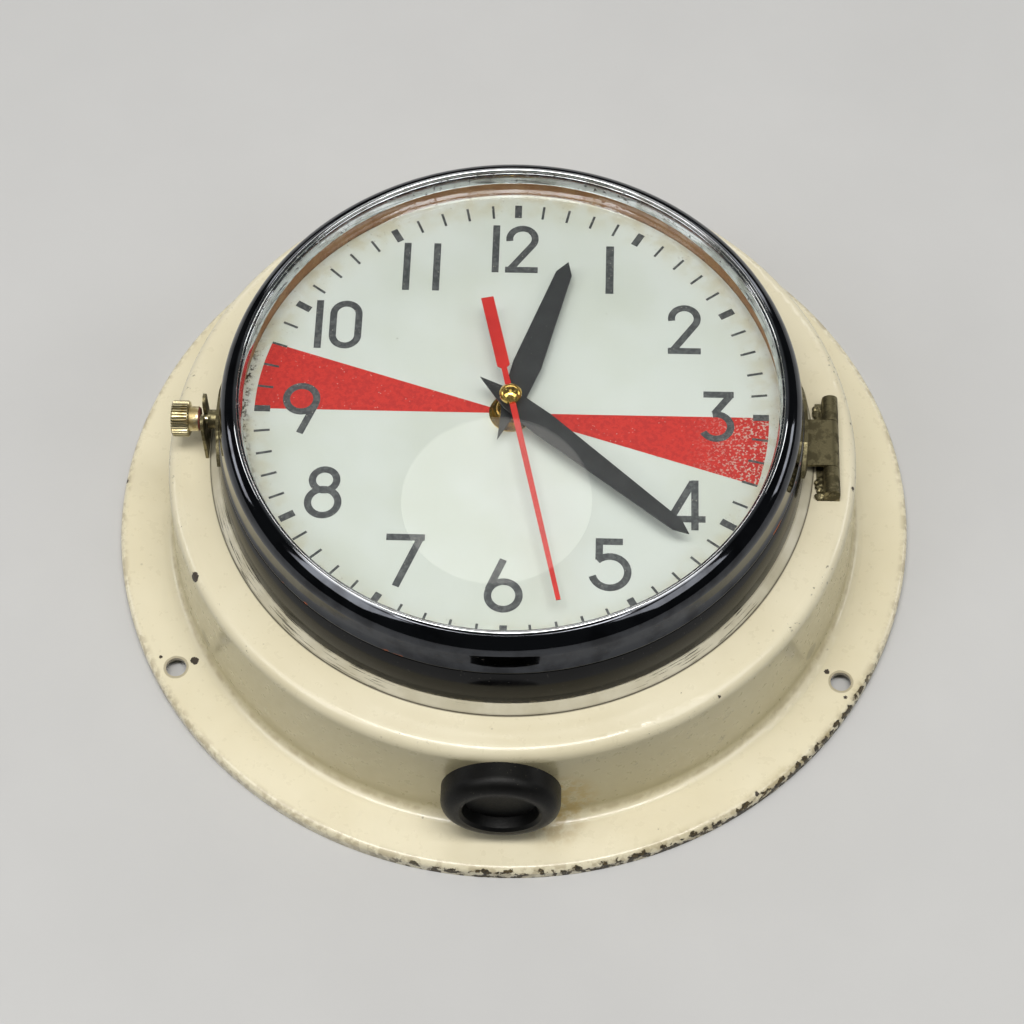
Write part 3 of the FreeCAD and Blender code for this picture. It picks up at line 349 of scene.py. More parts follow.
def seat_paint():
    finish = Finish("seat_paint", coat=0.15)
    drawn = finish.rings(12, 0.35)
    cloud = finish.noise(16, 4)
    turn = finish.turn()
    paint = finish.mix(finish.step(cloud, 0.35, 0.65), rgb(202, 196, 174), rgb(184, 177, 152))
    places = finish.most(finish.band(turn, -62, -38, 5), finish.band(turn, -158, -118, 12),
                         finish.step(cloud, 0.6, 0.7))
    scratches = finish.times(finish.step(drawn, 0.58, 0.62), places)
    paint = finish.mix(finish.times(scratches, 0.85), paint, rgb(48, 44, 34))
    foot = finish.times(finish.step(finish.z, 47.4, 46.6), finish.step(finish.radius, 100, 101))
    paint = finish.mix(finish.times(foot, 0.9), paint, rgb(44, 38, 26))
    finish.colour(paint)
    finish.roughness(finish.blend(finish.step(cloud, 0.3, 0.7), 0.38, 0.55))
    finish.bump(finish.calc("SUBTRACT", finish.noise(1.2, 3), scratches), 0.06)
    return finish.material


def bezel_chrome():
    finish = Finish("bezel_chrome", roughness=0.06, metallic=1.0)
    radius, z, turn = finish.radius, finish.z, finish.turn()
    fine = finish.noise(0.5, 4)
    patches = finish.noise(9, 4)
    # Painted reflection: the crown outside the bead gets a far darker chrome colour than the bead and inner
    # bevel, so that it mirrors dark as a dark room would, though the floor is pale.
    painted_dark_crown = finish.mix(finish.step(patches, 0.4, 0.7), rgb(74, 76, 80), rgb(58, 59, 62))
    bright = finish.mix(finish.step(patches, 0.4, 0.7), rgb(206, 208, 210), rgb(184, 186, 186))
    base = finish.mix(finish.step(radius, 91.6, 90.9), painted_dark_crown, bright)
    inner = finish.times(finish.step(radius, 90.5, 90.1), finish.step(z, 76.6, 77.2))
    upper = finish.band(turn, 20, 160, 15)
    pits = finish.times(inner, finish.step(finish.noise(1.5, 5), 0.61, 0.67), finish.blend(upper, 0.55, 1.0))
    film = finish.times(inner, finish.step(patches, 0.46, 0.66), 0.3)
    base = finish.mix(film, base, rgb(150, 142, 124))
    base = finish.mix(finish.times(pits, 0.85), base, rgb(46, 40, 32))
    crease = finish.times(finish.step(z, 67.75, 67.35), finish.step(finish.noise(16, 3), 0.6, 0.64))
    base = finish.mix(crease, base, rgb(176, 96, 56))
    scuffs = finish.times(finish.step(finish.rings(3, 0.5), 0.66, 0.7), finish.step(z, 81.5, 76))
    base = finish.mix(finish.times(scuffs, 0.5), base, rgb(70, 62, 54))
    finish.colour(base)
    dull = finish.most(pits, finish.times(film, 0.6), finish.times(scuffs, 0.7), finish.times(crease, 0.6))
    finish.roughness(finish.blend(dull, finish.blend(fine, 0.04, 0.09), 0.5))
    wave = finish.calc("ADD", finish.noise(30, 1), finish.times(finish.noise(6, 2), 0.06))
    finish.bump(finish.calc("SUBTRACT", wave, finish.times(pits, 0.12)), 0.35)
    return finish.material


def black_enamel():
    finish = Finish("black_enamel", specular=0.22)
    fine = finish.noise(1.4, 5)
    cloud = finish.noise(18, 3)
    base = finish.mix(finish.step(cloud, 0.3, 0.7), rgb(6, 6, 7), rgb(11, 12, 14))
    low_edge = finish.times(finish.step(finish.z, BEZEL_FOOT + 1.6, BEZEL_FOOT + 0.4),
                            finish.step(fine, 0.45, 0.6))
    base = finish.mix(finish.times(low_edge, 0.6), base, rgb(120, 112, 90))
    dust = finish.specks(2.4, 0.22)
    base = finish.mix(finish.times(dust, 0.35), base, rgb(120, 118, 110))
    finish.colour(base)
    finish.roughness(finish.blend(finish.step(cloud, 0.3, 0.7), 0.1, 0.2))
    finish.bump(finish.calc("ADD", finish.noise(24, 1), finish.times(finish.noise(3, 2), 0.05)), 0.15)
    return finish.material


def hand_satin(name, colour, pale, roughness):
    """Painted sheet metal with fine dust and a slightly uneven gloss."""
    finish = Finish(name, coat=0.1)
    cloud = finish.noise(9, 3)
    base = finish.mix(finish.step(cloud, 0.3, 0.75), colour, pale)
    dust = finish.times(finish.specks(1.6, 0.16), finish.step(finish.noise(8), 0.4, 0.6))
    base = finish.mix(finish.times(dust, 0.4), base, rgb(150, 148, 140))
    finish.colour(base)
    finish.roughness(finish.blend(finish.noise(4, 3), roughness - 0.08, roughness + 0.1))
    finish.bump(finish.noise(0.8, 3), 0.02)
    return finish.material


def dial_enamel():
    finish = Finish("dial_enamel", coat=0.05)
    radius, turn = finish.radius, finish.turn()
    cloud = finish.noise(38, 3)
    fine = finish.noise(0.7, 5)
    base = finish.mix(finish.step(cloud, 0.35, 0.7), rgb(212, 216, 210), rgb(204, 208, 198))
    margin = finish.step(radius, 76, 89)
    yellowed = finish.times(margin, finish.step(finish.noise(6, 4), 0.35, 0.68), 0.5)
    base = finish.mix(yellowed, base, rgb(186, 176, 138))
    pepper = finish.times(finish.specks(1.7, 0.28), finish.step(radius, 74, 88),
                          finish.step(finish.noise(7), 0.42, 0.6))
    base = finish.mix(finish.times(pepper, 0.6), base, rgb(104, 92, 62))
    stray = finish.times(finish.specks(9, 0.42), finish.step(finish.noise(19), 0.46, 0.6))
    base = finish.mix(finish.times(stray, 0.55), base, rgb(120, 116, 100))
    left_edge = finish.times(finish.step(radius, 86.2, 89.4), finish.most(finish.step(turn, -118, -132),
                                                                          finish.step(turn, 158, 172)))
    dirt = finish.times(left_edge, finish.step(finish.noise(1.5, 5), 0.5, 0.6))
    base = finish.mix(dirt, base, rgb(52, 44, 32))
    finish.colour(base)
    finish.roughness(finish.blend(fine, 0.45, 0.62))
    finish.bump(finish.calc("ADD", finish.noise(1.1, 3), finish.times(dirt, 2.0)), 0.04)
    return finish.material


def dial_ink(name, colour, pale, worn_side=None):
    """Printed paint on the dial, rubbed through in small specks."""
    finish = Finish(name)
    mottle = finish.noise(1.3, 5)
    base = finish.mix(finish.step(mottle, 0.42, 0.62), colour, pale)
    holes = finish.times(finish.specks(1.3, 0.2), finish.step(finish.noise(6, 3), 0.46, 0.6))
    if worn_side:
        low, high, start = worn_side
        rubbed = finish.times(finish.band(finish.turn(), low, high, 3), finish.step(finish.radius, start, 86))
        rubbed = finish.times(rubbed, finish.step(finish.noise(0.9, 5), 0.53, 0.6))
        holes = finish.most(holes, rubbed)
    finish.colour(finish.mix(finish.times(holes, 0.85), base, rgb(196, 190, 176)))
    finish.roughness(finish.blend(mottle, 0.45, 0.65))
    finish.bump(finish.calc("SUBTRACT", mottle, holes), 0.03)
    return finish.material


def surround_tan():
    finish = Finish("surround_tan", roughness=0.5)
    cloud = finish.noise(8, 4)
    fine = finish.noise(0.9, 5)
    base = finish.mix(finish.step(cloud, 0.35, 0.68), rgb(146, 98, 54), rgb(162, 120, 76))
    base = finish.mix(finish.times(finish.step(fine, 0.56, 0.64), 0.6), base, rgb(110, 72, 42))
    # Darker near the dial, in patches.
    low = finish.times(finish.step(finish.z, DIAL_TOP + 1.4, DIAL_TOP + 0.3), finish.step(fine, 0.35, 0.6))
    base = finish.mix(finish.times(low, 0.7), base, rgb(70, 50, 34))
    finish.colour(base)
    finish.roughness(finish.blend(fine, 0.4, 0.65))
    finish.bump(finish.noise(1.4, 4), 0.08)
    return finish.material


def black_rubber(name, grey, roughness):
    finish = Finish(name, roughness=roughness, specular=0.18)
    cloud = finish.noise(10, 4)
    fine = finish.noise(0.6, 4)
    base = finish.mix(finish.step(cloud, 0.35, 0.7), rgb(grey, grey, grey), rgb(grey + 8, grey + 8, grey + 6))
    dust = finish.times(finish.specks(1.5, 0.14), finish.step(cloud, 0.42, 0.6))
    base = finish.mix(finish.times(dust, 0.35), base, rgb(128, 122, 106))
    finish.colour(base)
    finish.roughness(finish.blend(fine, roughness - 0.12, roughness + 0.1))
    finish.bump(fine, 0.05)
    return finish.material


def knurl_groove_shade(finish):
    """Painted shade in the thumbscrew's straight knurl, which runs along X. 1 in a groove."""
    up = finish.calc("SUBTRACT", finish.z, LATCH_HEIGHT)
    around = finish.calc("ARCTAN2", finish.y, up)
    wave = finish.calc("COSINE", finish.times(around, KNURL_COUNT))
    reach = finish.calc("SQRT", finish.calc("ADD", finish.times(up, up), finish.times(finish.y, finish.y)))
    head = finish.step(finish.x, HEAD_START, HEAD_START - 0.3)
    return finish.times(finish.step(wave, 0.1, 0.6), finish.step(reach, 4.6, 5.4), head)


def metal(name, bright, dark, roughness, size=2.5, depth=0.03, tarnish=0.5, drawn=None, knurled=False):
    """Bare or plated metal. Tarnish is how much of it the darker colour covers."""
    finish = Finish(name, metallic=1.0)
    cloud = finish.noise(size * 2.2, 4)
    fine = finish.noise(size * 0.3, 5)
    cover = finish.step(finish.calc("ADD", cloud, finish.times(fine, 0.25)),
                        0.85 - tarnish * 0.5, 1.0 - tarnish * 0.5)
    base = finish.mix(cover, bright, dark)
    pits = finish.step(finish.noise(size * 0.35, 5), 0.64, 0.7)
    base = finish.mix(finish.times(pits, 0.6 * tarnish), base, rgb(30, 26, 20))
    if knurled:
        # Painted shade: each groove of the knurl is darkened so that it reads as shaded.
        base = finish.mix(finish.times(knurl_groove_shade(finish), 0.9), base, rgb(48, 38, 22))
    finish.colour(base)
    height = fine
    if drawn:
        sx, sy, sz = drawn
        height = finish.noise(1.0, 3, finish.vector(finish.times(finish.x, sx), finish.times(finish.y, sy),
                                                    finish.times(finish.z, sz)))
    dull = finish.most(finish.times(cover, 0.8), pits)
    finish.roughness(finish.blend(dull, roughness, min(roughness + 0.3, 0.8)))
    finish.bump(finish.calc("SUBTRACT", height, finish.times(pits, 0.5)), depth)
    return finish.material


def moulded(name, colour, pale, roughness, size=1.0, depth=0.02):
    """Moulded plastic, board or fibre with a fine skin."""
    finish = Finish(name)
    cloud = finish.noise(size * 8, 3)
    skin = finish.noise(size * 0.7, 4)
    base = finish.mix(finish.step(cloud, 0.3, 0.7), colour, pale)
    finish.colour(finish.mix(finish.times(finish.step(skin, 0.6, 0.7), 0.25), base, pale))
    finish.roughness(finish.blend(skin, roughness - 0.06, roughness + 0.1))
    finish.bump(skin, depth)
    return finish.material


def clear_glass():
    """Clear glass that lets the lamps through, with faint smears."""
    finish = Finish("clear_glass", roughness=0.0)
    finish.colour((0.97, 0.985, 0.98, 1.0))
    finish.shader.inputs["Transmission Weight"].default_value = 1.0
    finish.shader.inputs["IOR"].default_value = 1.45
    smear = finish.times(finish.step(finish.noise(14, 5), 0.5, 0.75),
                         finish.step(finish.noise(2.2, 4), 0.45, 0.7))
    finish.roughness(finish.times(smear, 0.05))
    clear = finish.nodes.new("ShaderNodeBsdfTransparent")
    clear.inputs["Color"].default_value = (0.96, 0.975, 0.97, 1.0)
    path = finish.nodes.new("ShaderNodeLightPath")
    choose = finish.nodes.new("ShaderNodeMixShader")
    passing = finish.calc("MAXIMUM", path.outputs["Is Shadow Ray"], path.outputs["Is Diffuse Ray"])
    finish.links.new(passing, choose.inputs[0])
    finish.links.new(finish.shader.outputs["BSDF"], choose.inputs[1])
    finish.links.new(clear.outputs["BSDF"], choose.inputs[2])
    finish.links.new(choose.outputs["Shader"], finish.output.inputs["Surface"])
    return finish.material


FINISHES = {
    "cream_enamel": cream_enamel(),
    "seat_paint": seat_paint(),
    "bezel_chrome": bezel_chrome(),
    "black_enamel": black_enamel(),
    "hand_red": hand_satin("hand_red", rgb(200, 36, 28), rgb(182, 28, 24), 0.42),
    "dial_enamel": dial_enamel(),
    "surround_tan": surround_tan(),
    "black_rubber": black_rubber("black_rubber", 5, 0.46),
    "seal_rubber": black_rubber("seal_rubber", 34, 0.65),
    "tarnished_brass": metal("tarnished_brass", rgb(132, 124, 94), rgb(92, 86, 64), 0.42, 2.0, 0.08, 0.6),
    "worn_nickel": metal("worn_nickel", rgb(208, 198, 160), rgb(178, 160, 114), 0.3, 2.6, 0.03, 0.45,
                         knurled=True),
    "polished_brass": metal("polished_brass", rgb(226, 190, 104), rgb(176, 140, 74), 0.14, 2.4, 0.01, 0.3),
    "zinc_steel": metal("zinc_steel", rgb(178, 180, 180), rgb(138, 140, 140), 0.34, 5.0, 0.02, 0.3,
                        (0.1, 3.0, 3.0)),
    "gear_brass": metal("gear_brass", rgb(212, 176, 100), rgb(168, 136, 76), 0.24, 2.0, 0.01, 0.25),
    "winding_copper": metal("winding_copper", rgb(196, 104, 64), rgb(140, 70, 42), 0.3, 1.2, 0.05, 0.3,
                            (0.2, 6, 6)),
    "magnet_grey": metal("magnet_grey", rgb(96, 96, 98), rgb(66, 66, 68), 0.5, 1.0, 0.02, 0.4),
    "clear_glass": clear_glass(),
    "movement_plastic": moulded("movement_plastic", rgb(30, 30, 32), rgb(42, 42, 44), 0.48),
    "white_plastic": moulded("white_plastic", rgb(228, 227, 218), rgb(214, 212, 200), 0.42),
    "board_green": moulded("board_green", rgb(24, 84, 48), rgb(36, 104, 60), 0.35, 0.6),
    "battery_wrap": moulded("battery_wrap", rgb(60, 66, 78), rgb(74, 80, 92), 0.3, 2.0),
    "fibre_red": moulded("fibre_red", rgb(96, 40, 28), rgb(120, 56, 40), 0.6, 0.5),
}
HAND_BLACK = hand_satin("hand_black", rgb(30, 31, 32), rgb(42, 43, 44), 0.4)
NUMERAL_INK = dial_ink("numeral_ink", rgb(54, 56, 58), rgb(84, 86, 86))
SECTOR_INK = dial_ink("sector_ink", rgb(196, 40, 30), rgb(178, 32, 26), (-20, 2, 58))


def finish_nodes():
    for entry in frame["record"]["subparts"]:
        node = frame["nodes"][entry["node"]]
        material = FINISHES[entry["material_slot"]]
        if entry["node"] in ("minute_hand", "hour_hand"):
            material = HAND_BLACK
        for place in node.material_slots:
            place.material = material
        if not node.material_slots:
            node.data.materials.append(material)


# ---------------------------------------------------------------- mesh helpers


def add_mesh(name, mesh_data, material, body, sharp=32):
    """A finished piece from a bmesh, which is freed."""
    bmesh.ops.recalc_face_normals(mesh_data, faces=mesh_data.faces)
    mesh = bpy.data.meshes.new(name)
    mesh_data.to_mesh(mesh)
    mesh_data.free()
    mesh.polygons.foreach_set("use_smooth", [True] * len(mesh.polygons))
    mesh.set_sharp_from_angle(angle=math.radians(sharp))
    mesh.materials.append(material)
    piece = bpy.data.objects.new(name, mesh)
    bpy.context.scene.collection.objects.link(piece)
    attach(piece, body)
    return piece


def lathe(profile, steps=AROUND):
    """A closed outline of (radius, height) points turned round Z, as a bmesh. A point may lie on the axis."""
    made = bmesh.new()
    rings = []
    for radius, height in profile:
        if radius == 0:
            rings.append([made.verts.new((0, 0, height * MM))] * steps)
            continue
        ring = []
        for i in range(steps):
            angle = 2 * math.pi * i / steps
            place = Vector((radius * math.cos(angle), radius * math.sin(angle), height))
            ring.append(made.verts.new(place * MM))
        rings.append(ring)
    for j, lower in enumerate(rings):
        upper = rings[(j + 1) % len(rings)]
        for i in range(steps):
            corners = (lower[i], lower[(i + 1) % steps], upper[(i + 1) % steps], upper[i])
            different = list(dict.fromkeys(corners))
            if len(different) > 2:
                made.faces.new(different)
    return made


def arc(centre_x, centre_y, radius, start, end, steps=24):
    """Points on an arc from one angle to another, in degrees."""
    points = []
    for i in range(steps + 1):
        angle = math.radians(start + (end - start) * i / steps)
        points.append((centre_x + radius * math.cos(angle), centre_y + radius * math.sin(angle)))
    return points


def curve_between(start, end, radius, side, steps=12):
    """Points on an arc of that radius from start to end. Side is 1 if its centre is on the left."""
    a, b = Vector(start), Vector(end)
    half = (b - a) / 2
    rise = math.sqrt(radius ** 2 - half.length_squared)
    centre = a + half + Vector((-half.y, half.x)).normalized() * rise * side
    first = math.degrees(math.atan2(a.y - centre.y, a.x - centre.x))
    last = math.degrees(math.atan2(b.y - centre.y, b.x - centre.x))
    sweep = (last - first + 180) % 360 - 180
    return arc(centre.x, centre.y, radius, first, first + sweep, steps)


# ---------------------------------------------------------------- bezel and glass


def bezel():
    bead = arc(*BEAD_CENTRE, BEAD_RADIUS, 40, 178, 12)
    crown = [
        (RETAINER_RADIUS + 0.1, CREASE_HEIGHT),
        (CREASE_RADIUS + 0.1, CREASE_HEIGHT),
        (CREASE_RADIUS + 0.22, CREASE_HEIGHT + 0.25),
        (CREASE_RADIUS + 0.1, CREASE_HEIGHT + 0.55),
        (CREASE_RADIUS - 0.05, CREASE_HEIGHT + 0.75),
        CROWN_WAIST,
        *curve_between(CROWN_FOOT, CROWN_TOP, CROWN_CURVE, 1, 18),
        *bead[1:],
        *GROOVE,
        (LIP_RADIUS + 0.12, LIP_HEIGHT + 0.4),
        (LIP_RADIUS, LIP_HEIGHT),
        (LIP_RADIUS, LIP_HEIGHT - 0.5),
        (POCKET_RADIUS, POCKET_TOP),
        (POCKET_RADIUS, GASKET_FOOT),
        (RETAINER_RADIUS, GASKET_FOOT),
    ]
    piece = add_mesh("bezel_crown", lathe(crown), FINISHES["bezel_chrome"], "bezel", 50)
    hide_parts("bezel_ring")
    skirt_inside = SKIRT_RADIUS - SKIRT_WALL
    skirt = [
        (skirt_inside, BEZEL_FOOT + 0.3),
        (skirt_inside + 0.3, BEZEL_FOOT),
        (SKIRT_RADIUS - 0.35, BEZEL_FOOT),
        (SKIRT_RADIUS - 0.08, BEZEL_FOOT + 0.12),
        (SKIRT_RADIUS - 0.05, BEZEL_FOOT + 0.4),
        (CREASE_RADIUS + 0.33, CREASE_HEIGHT - 0.42),
        (CREASE_RADIUS + 0.12, CREASE_HEIGHT - 0.12),
        (CREASE_RADIUS - 0.15, CREASE_HEIGHT - 0.03),
        (RETAINER_RADIUS + 0.15, CREASE_HEIGHT - 0.03),
        (CREASE_RADIUS - SKIRT_WALL, CREASE_HEIGHT - 0.5),
    ]
    piece = add_mesh("bezel_skirt", lathe(skirt), FINISHES["black_enamel"], "bezel", 50)
    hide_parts("bezel_ring")


def glass():
    """The domed glass, turned fine enough to reflect without facets."""
    def dome(radius, top, sphere):
        return top - sphere + math.sqrt(sphere ** 2 - radius ** 2)

    steps = 24
    under = GLASS_SPHERE - GLASS_SHEET
    outline = []
    for i in range(steps + 1):
        radius = GLASS_RADIUS * i / steps
        outline.append((radius, dome(radius, GLASS_TOP - GLASS_SHEET, under)))
    for i in range(steps, -1, -1):
        radius = GLASS_RADIUS * i / steps
        outline.append((radius, dome(radius, GLASS_TOP, GLASS_SPHERE)))
    piece = add_mesh("glass_dome", lathe(outline), FINISHES["clear_glass"], "bezel", 40)
    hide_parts("glass")


# ---------------------------------------------------------------- printing on the dial


INK_DEPTH = 0.05  # how far the printing reaches into the dial's surface
SECTOR_INK_TOP = 0.035
TICK_INK_TOP = 0.065
NUMERAL_INK_TOP = 0.09
STROKE_RISE = 0.006  # strokes that cross lie this much above each other


def slab(made, outline, top):
    """A flat closed plate from an outline in the dial's plane, with its top that high above the dial."""
    low = [made.verts.new((x * MM, y * MM, (DIAL_TOP - INK_DEPTH) * MM)) for x, y in outline]
    high = [made.verts.new((x * MM, y * MM, (DIAL_TOP + top) * MM)) for x, y in outline]
    made.faces.new(low[::-1])
    made.faces.new(high)
    for i in range(len(outline)):
        after = (i + 1) % len(outline)
        made.faces.new((low[i], low[after], high[after], high[i]))


def ribbon(made, path, width, top, closed=False):
    """A stroke of constant width along a path, with mitred turns, as one closed band."""
    count = len(path)
    left, right = [], []
    for i, (x, y) in enumerate(path):
        before = path[(i - 1) % count] if closed or i else None
        after = path[(i + 1) % count] if closed or i < count - 1 else None
        way_in = (Vector((x, y)) - Vector(before)).normalized() if before else None
        way_out = (Vector(after) - Vector((x, y))).normalized() if after else None
        way_in, way_out = way_in or way_out, way_out or way_in
        bisector = Vector((-(way_in.y + way_out.y), way_in.x + way_out.x)).normalized()
        reach = width / 2 / max(bisector.dot(Vector((-way_in.y, way_in.x))), 0.35)
        left.append((x + bisector.x * reach, y + bisector.y * reach))
        right.append((x - bisector.x * reach, y - bisector.y * reach))
    levels = []
    for z in (DIAL_TOP - INK_DEPTH, DIAL_TOP + top):
        levels.append([[made.verts.new((x * MM, y * MM, z * MM)) for x, y in side] for side in (left, right)])
    (low_left, low_right), (high_left, high_right) = levels
    for i in range(count if closed else count - 1):
        j = (i + 1) % count
        made.faces.new((high_left[i], high_right[i], high_right[j], high_left[j]))
        made.faces.new((low_left[j], low_right[j], low_right[i], low_left[i]))
        made.faces.new((low_left[i], high_left[i], high_left[j], low_left[j]))
        made.faces.new((low_right[j], high_right[j], high_right[i], low_right[i]))
    if not closed:
        for i in (0, count - 1):
            made.faces.new((low_left[i], low_right[i], high_right[i], high_left[i]))


def two(left, right, low, high):
    """A 2 with a round head, a straight slope and a flat base."""
    reach = (right - left) / 2
    radius = reach - STROKE / 2
    middle = (left + right) / 2
    head = arc(middle, high - reach, radius, 192, -32)
    slope = head + [(left + STROKE * 0.72, low + STROKE * 0.6)]
    return [slope, ((left, low + STROKE / 2), (right, low + STROKE / 2))]


def zero(left, right, low, high):
    reach = (right - left) / 2
    radius = reach - STROKE / 2
    middle = (left + right) / 2
    return arc(middle, high - reach, radius, 0, 180) + arc(middle, low + reach, radius, 180, 360)[:-1]


def ring(x, y, outer):
    return arc(x, y, outer - STROKE / 2, 0, 360, 48)[:-1]


def numerals():
    """Each hour's strokes as open paths, closed paths and the stroke width of the open ones."""
    return {
        12: ([((-7.3, 57.1), (-7.3, 76.9))] + two(-3.9, 7.3, 57.1, 76.9), [], STROKE),
        1: ([((31.95, 49), (31.95, 68.8))], [], LONE_STROKE),
        2: (two(51.9, 63, 24.9, 44.8), [], STROKE),
        3: ([((63.8, 8.85), (73.9, 8.85)), ((72.6, 8.3), (67.4, 1.3)), arc(68, -3.7, 4.8, 104, -152)],
            [], STROKE),
        4: ([((60.95, -24.8), (60.95, -43.7)), ((60.3, -25.4), (53.3, -39.0)),
             ((52.5, -39.55), (64.4, -39.55))], [], STROKE),
        5: ([((28.9, -48.6), (37.7, -48.6)), ((30.1, -48.4), (30.1, -55.4)),
             arc(33.6, -59.9, 5.8, 134, -165)], [], STROKE),
        6: ([((-0.7, -56.1), (-5.2, -67.2))], [ring(-0.35, -69.3, 6.25)], STROKE),
        7: ([((-38.9, -48.5), (-26.4, -48.5)), ((-27.8, -48.6), (-35.1, -66.7))], [], STROKE),
        8: ([], [ring(-60.3, -27.4, 5.2), ring(-60.4, -35.9, 6.15)], STROKE),
        9: ([((-65.2, 2.2), (-69.85, -9.4))], [ring(-70, 4.07, 6.25)], STROKE),
        10: ([((-66.2, 24.6), (-66.2, 44.1))], [zero(-62.6, -51.6, 24.6, 44.1)], STROKE),
        11: ([((-37.6, 49.1), (-37.6, 68.8)), ((-27.35, 49.1), (-27.35, 68.8))], [], STROKE),
    }


def print_numerals():
    for hour, (lines, loops, width) in numerals().items():
        made = bmesh.new()
        top = NUMERAL_INK_TOP
        for path in lines:
            ribbon(made, list(path), width, top)
            top += STROKE_RISE
        for path in loops:
            ribbon(made, list(path), width, top, closed=True)
            top += STROKE_RISE
        add_mesh(f"numeral_{hour:02d}", made, NUMERAL_INK, "case")


def print_ticks():
    made = bmesh.new()
    for minute in range(60):
        angle = math.radians(6 * minute)
        half = (HOUR_TICK if minute % 5 == 0 else MINUTE_TICK) / 2
        out = Vector((math.sin(angle), math.cos(angle)))
        across = Vector((out.y, -out.x)) * half
        corners = [out * TICK_INSIDE - across, out * TICK_OUTSIDE - across, out * TICK_OUTSIDE + across,
                   out * TICK_INSIDE + across]
        slab(made, [tuple(c) for c in corners], TICK_INK_TOP)
    add_mesh("minute_track", made, NUMERAL_INK, "case")


def print_sectors():
    for start, label in zip(SECTOR_STARTS, ("right", "left")):
        made = bmesh.new()
        first = 90 - start
        last = first - SECTOR_WIDTH
        outline = arc(0, 0, TICK_OUTSIDE, first, last, 18) + arc(0, 0, HUB_CLEAR, last, first, 4)
        slab(made, outline, SECTOR_INK_TOP)
        add_mesh(f"red_sector_{label}", made, SECTOR_INK, "case")


# ---------------------------------------------------------------- brazing at the hinge


BRAZE_BLOBS = 48
BRAZE_RUN = 3.4  # from the seat to the barrel
BRAZE_INNER_END = 10.4  # clear of the moving leaf


def brazing():
    """Rough brazing along the fixed leaf, one run at each end of it, between the seat and the barrel."""
    foot, end = [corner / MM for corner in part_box("hinge_case_leaf")]
    start = foot.x - 0.2
    runs = (("upper", BRAZE_INNER_END, end.y - 0.6), ("lower", foot.y + 0.6, -BRAZE_INNER_END))
    for label, low, high in runs:
        made = bmesh.new()
        for i in range(BRAZE_BLOBS):
            share = (i + 0.5) / BRAZE_BLOBS
            size = random.uniform(0.55, 1.0)
            x = start + random.uniform(0.1, BRAZE_RUN)
            z = foot.z + random.uniform(0.5, 1.2)
            place = Matrix.Translation(Vector((x, low + (high - low) * share, z)) * MM)
            squash = Matrix.Diagonal((size * 1.3 * MM, size * 1.1 * MM, size * 0.8 * MM, 1))
            bmesh.ops.create_icosphere(made, subdivisions=2, radius=1, matrix=place @ squash)
        piece = add_mesh(f"hinge_brazing_{label}", made, FINISHES["tarnished_brass"], "case",
                         60)
        merge = piece.modifiers.new("merge", "REMESH")
        merge.mode = "VOXEL"
        merge.voxel_size = 0.22 * MM
        merge.use_smooth_shade = True


# ---------------------------------------------------------------- camera, light and floor


CAMERA_AZIMUTH = 2.990
CAMERA_ELEVATION = 59.166
CAMERA_ROLL = -1.399
CAMERA_DISTANCE = 958.0
CAMERA_LENS = 101.13
CAMERA_SENSOR = 36
AIM_RIGHT = 0.3
AIM_DOWN = 32.5


def set_camera():
    """A long lens from in front and above. The camera is moved along its own plane to frame the clock."""
    azimuth, elevation = math.radians(CAMERA_AZIMUTH), math.radians(CAMERA_ELEVATION)
    roll = math.radians(CAMERA_ROLL)
    target = Vector((0, 0, DIAL_TOP))
    right = Vector((math.cos(azimuth), math.sin(azimuth), 0))
    back = Vector((math.sin(azimuth) * math.cos(elevation), -math.cos(azimuth) * math.cos(elevation),
                   math.sin(elevation)))
    up = back.cross(right)
    across = right * math.cos(roll) + up * math.sin(roll)
    upright = up * math.cos(roll) - right * math.sin(roll)
    camera = bpy.data.objects.new("camera", bpy.data.cameras.new("camera"))
    camera.data.lens = CAMERA_LENS
    camera.data.sensor_width = CAMERA_SENSOR
    place = (target + back * CAMERA_DISTANCE + across * AIM_RIGHT - upright * AIM_DOWN) * MM
    turn = Matrix((across, upright, back)).transposed().to_4x4()
    camera.matrix_world = Matrix.Translation(place) @ turn
    bpy.context.scene.collection.objects.link(camera)
    bpy.context.scene.camera = camera


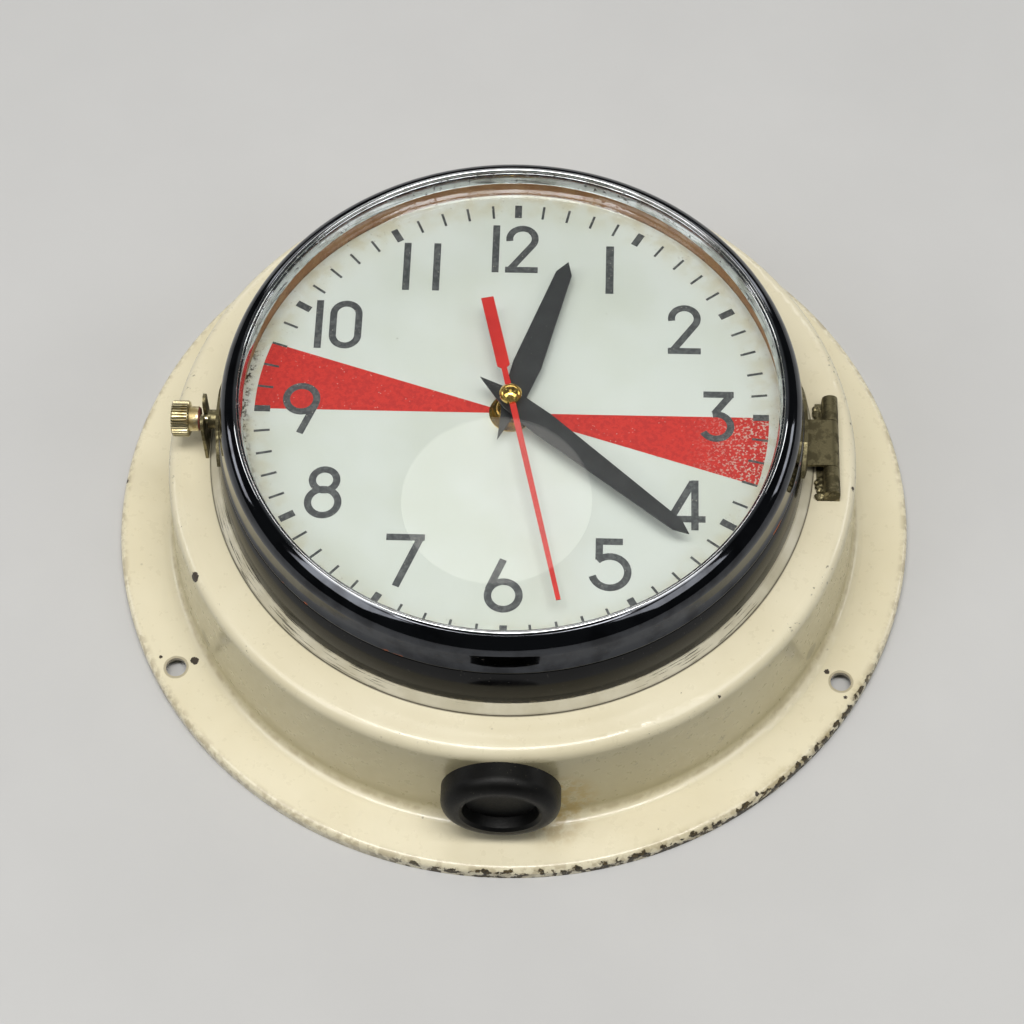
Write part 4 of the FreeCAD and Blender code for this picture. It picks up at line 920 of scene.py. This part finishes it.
def area_light(name, place, aim, width, depth, power, colour=(1, 1, 1), shape="RECTANGLE"):
    light = bpy.data.lights.new(name, "AREA")
    light.shape = shape
    light.size = width
    if shape == "RECTANGLE":
        light.size_y = depth
    light.energy = power
    light.color = colour
    lamp = bpy.data.objects.new(name, light)
    lamp.location = place
    lamp.rotation_euler = (Vector(aim) - Vector(place)).to_track_quat("-Z", "Y").to_euler()
    bpy.context.scene.collection.objects.link(lamp)


def set_light():
    world = bpy.data.worlds.new("studio")
    world.use_nodes = True
    background = world.node_tree.nodes["Background"]
    background.inputs["Color"].default_value = (0.9, 0.95, 1.0, 1.0)
    background.inputs["Strength"].default_value = 0.06
    bpy.context.scene.world = world
    bpy.context.scene.view_settings.view_transform = "Standard"
    area_light("overhead", (0.0, -0.3, 1.62), (0, 0, 0.03), 1.2, 0.4, 20, (1.0, 0.98, 0.95))
    area_light("left_box", (-0.98, -0.5, 1.3), (0, 0, 0.05), 0.75, 0.75, 6)
    area_light("right_box", (1.0, -0.5, 1.28), (0, 0, 0.05), 0.7, 0.7, 4.5)
    area_light("round_lamp", (-0.07, 0.4, 1.44), (0, 0, 0.06), 0.58, 0.58, 1.0, (1.0, 0.97, 0.9), "DISK")
    area_light("back_strip", (0, 1.5, 0.6), (0, 0, 0.06), 2.2, 0.3, 7)
    area_light("left_strip", (-1.4, 0.3, 0.5), (0, 0, 0.05), 0.5, 0.3, 2)
    area_light("right_strip", (1.4, 0.4, 0.5), (0, 0, 0.05), 0.5, 0.3, 2)


FLOOR_HALF = 1.3
FLOOR_GAP = 0.0002


def set_floor():
    finish = Finish("floor", roughness=0.7)
    finish.colour(finish.mix(finish.noise(60, 4), rgb(188, 188, 187), rgb(196, 196, 195)))
    finish.bump(finish.noise(1.5, 3), 0.03)
    made = bmesh.new()
    bmesh.ops.create_grid(made, x_segments=2, y_segments=2, size=FLOOR_HALF)
    mesh = bpy.data.meshes.new("floor")
    made.to_mesh(mesh)
    made.free()
    mesh.materials.append(finish.material)
    floor = bpy.data.objects.new("floor", mesh)
    floor.location.z = cad_box[0][2] - FLOOR_GAP
    bpy.context.scene.collection.objects.link(floor)


# ---------------------------------------------------------------- the scene


random.seed(7)
finish_nodes()
bezel()
glass()
print_sectors()
print_ticks()
print_numerals()
brazing()
set_camera()
set_light()
set_floor()
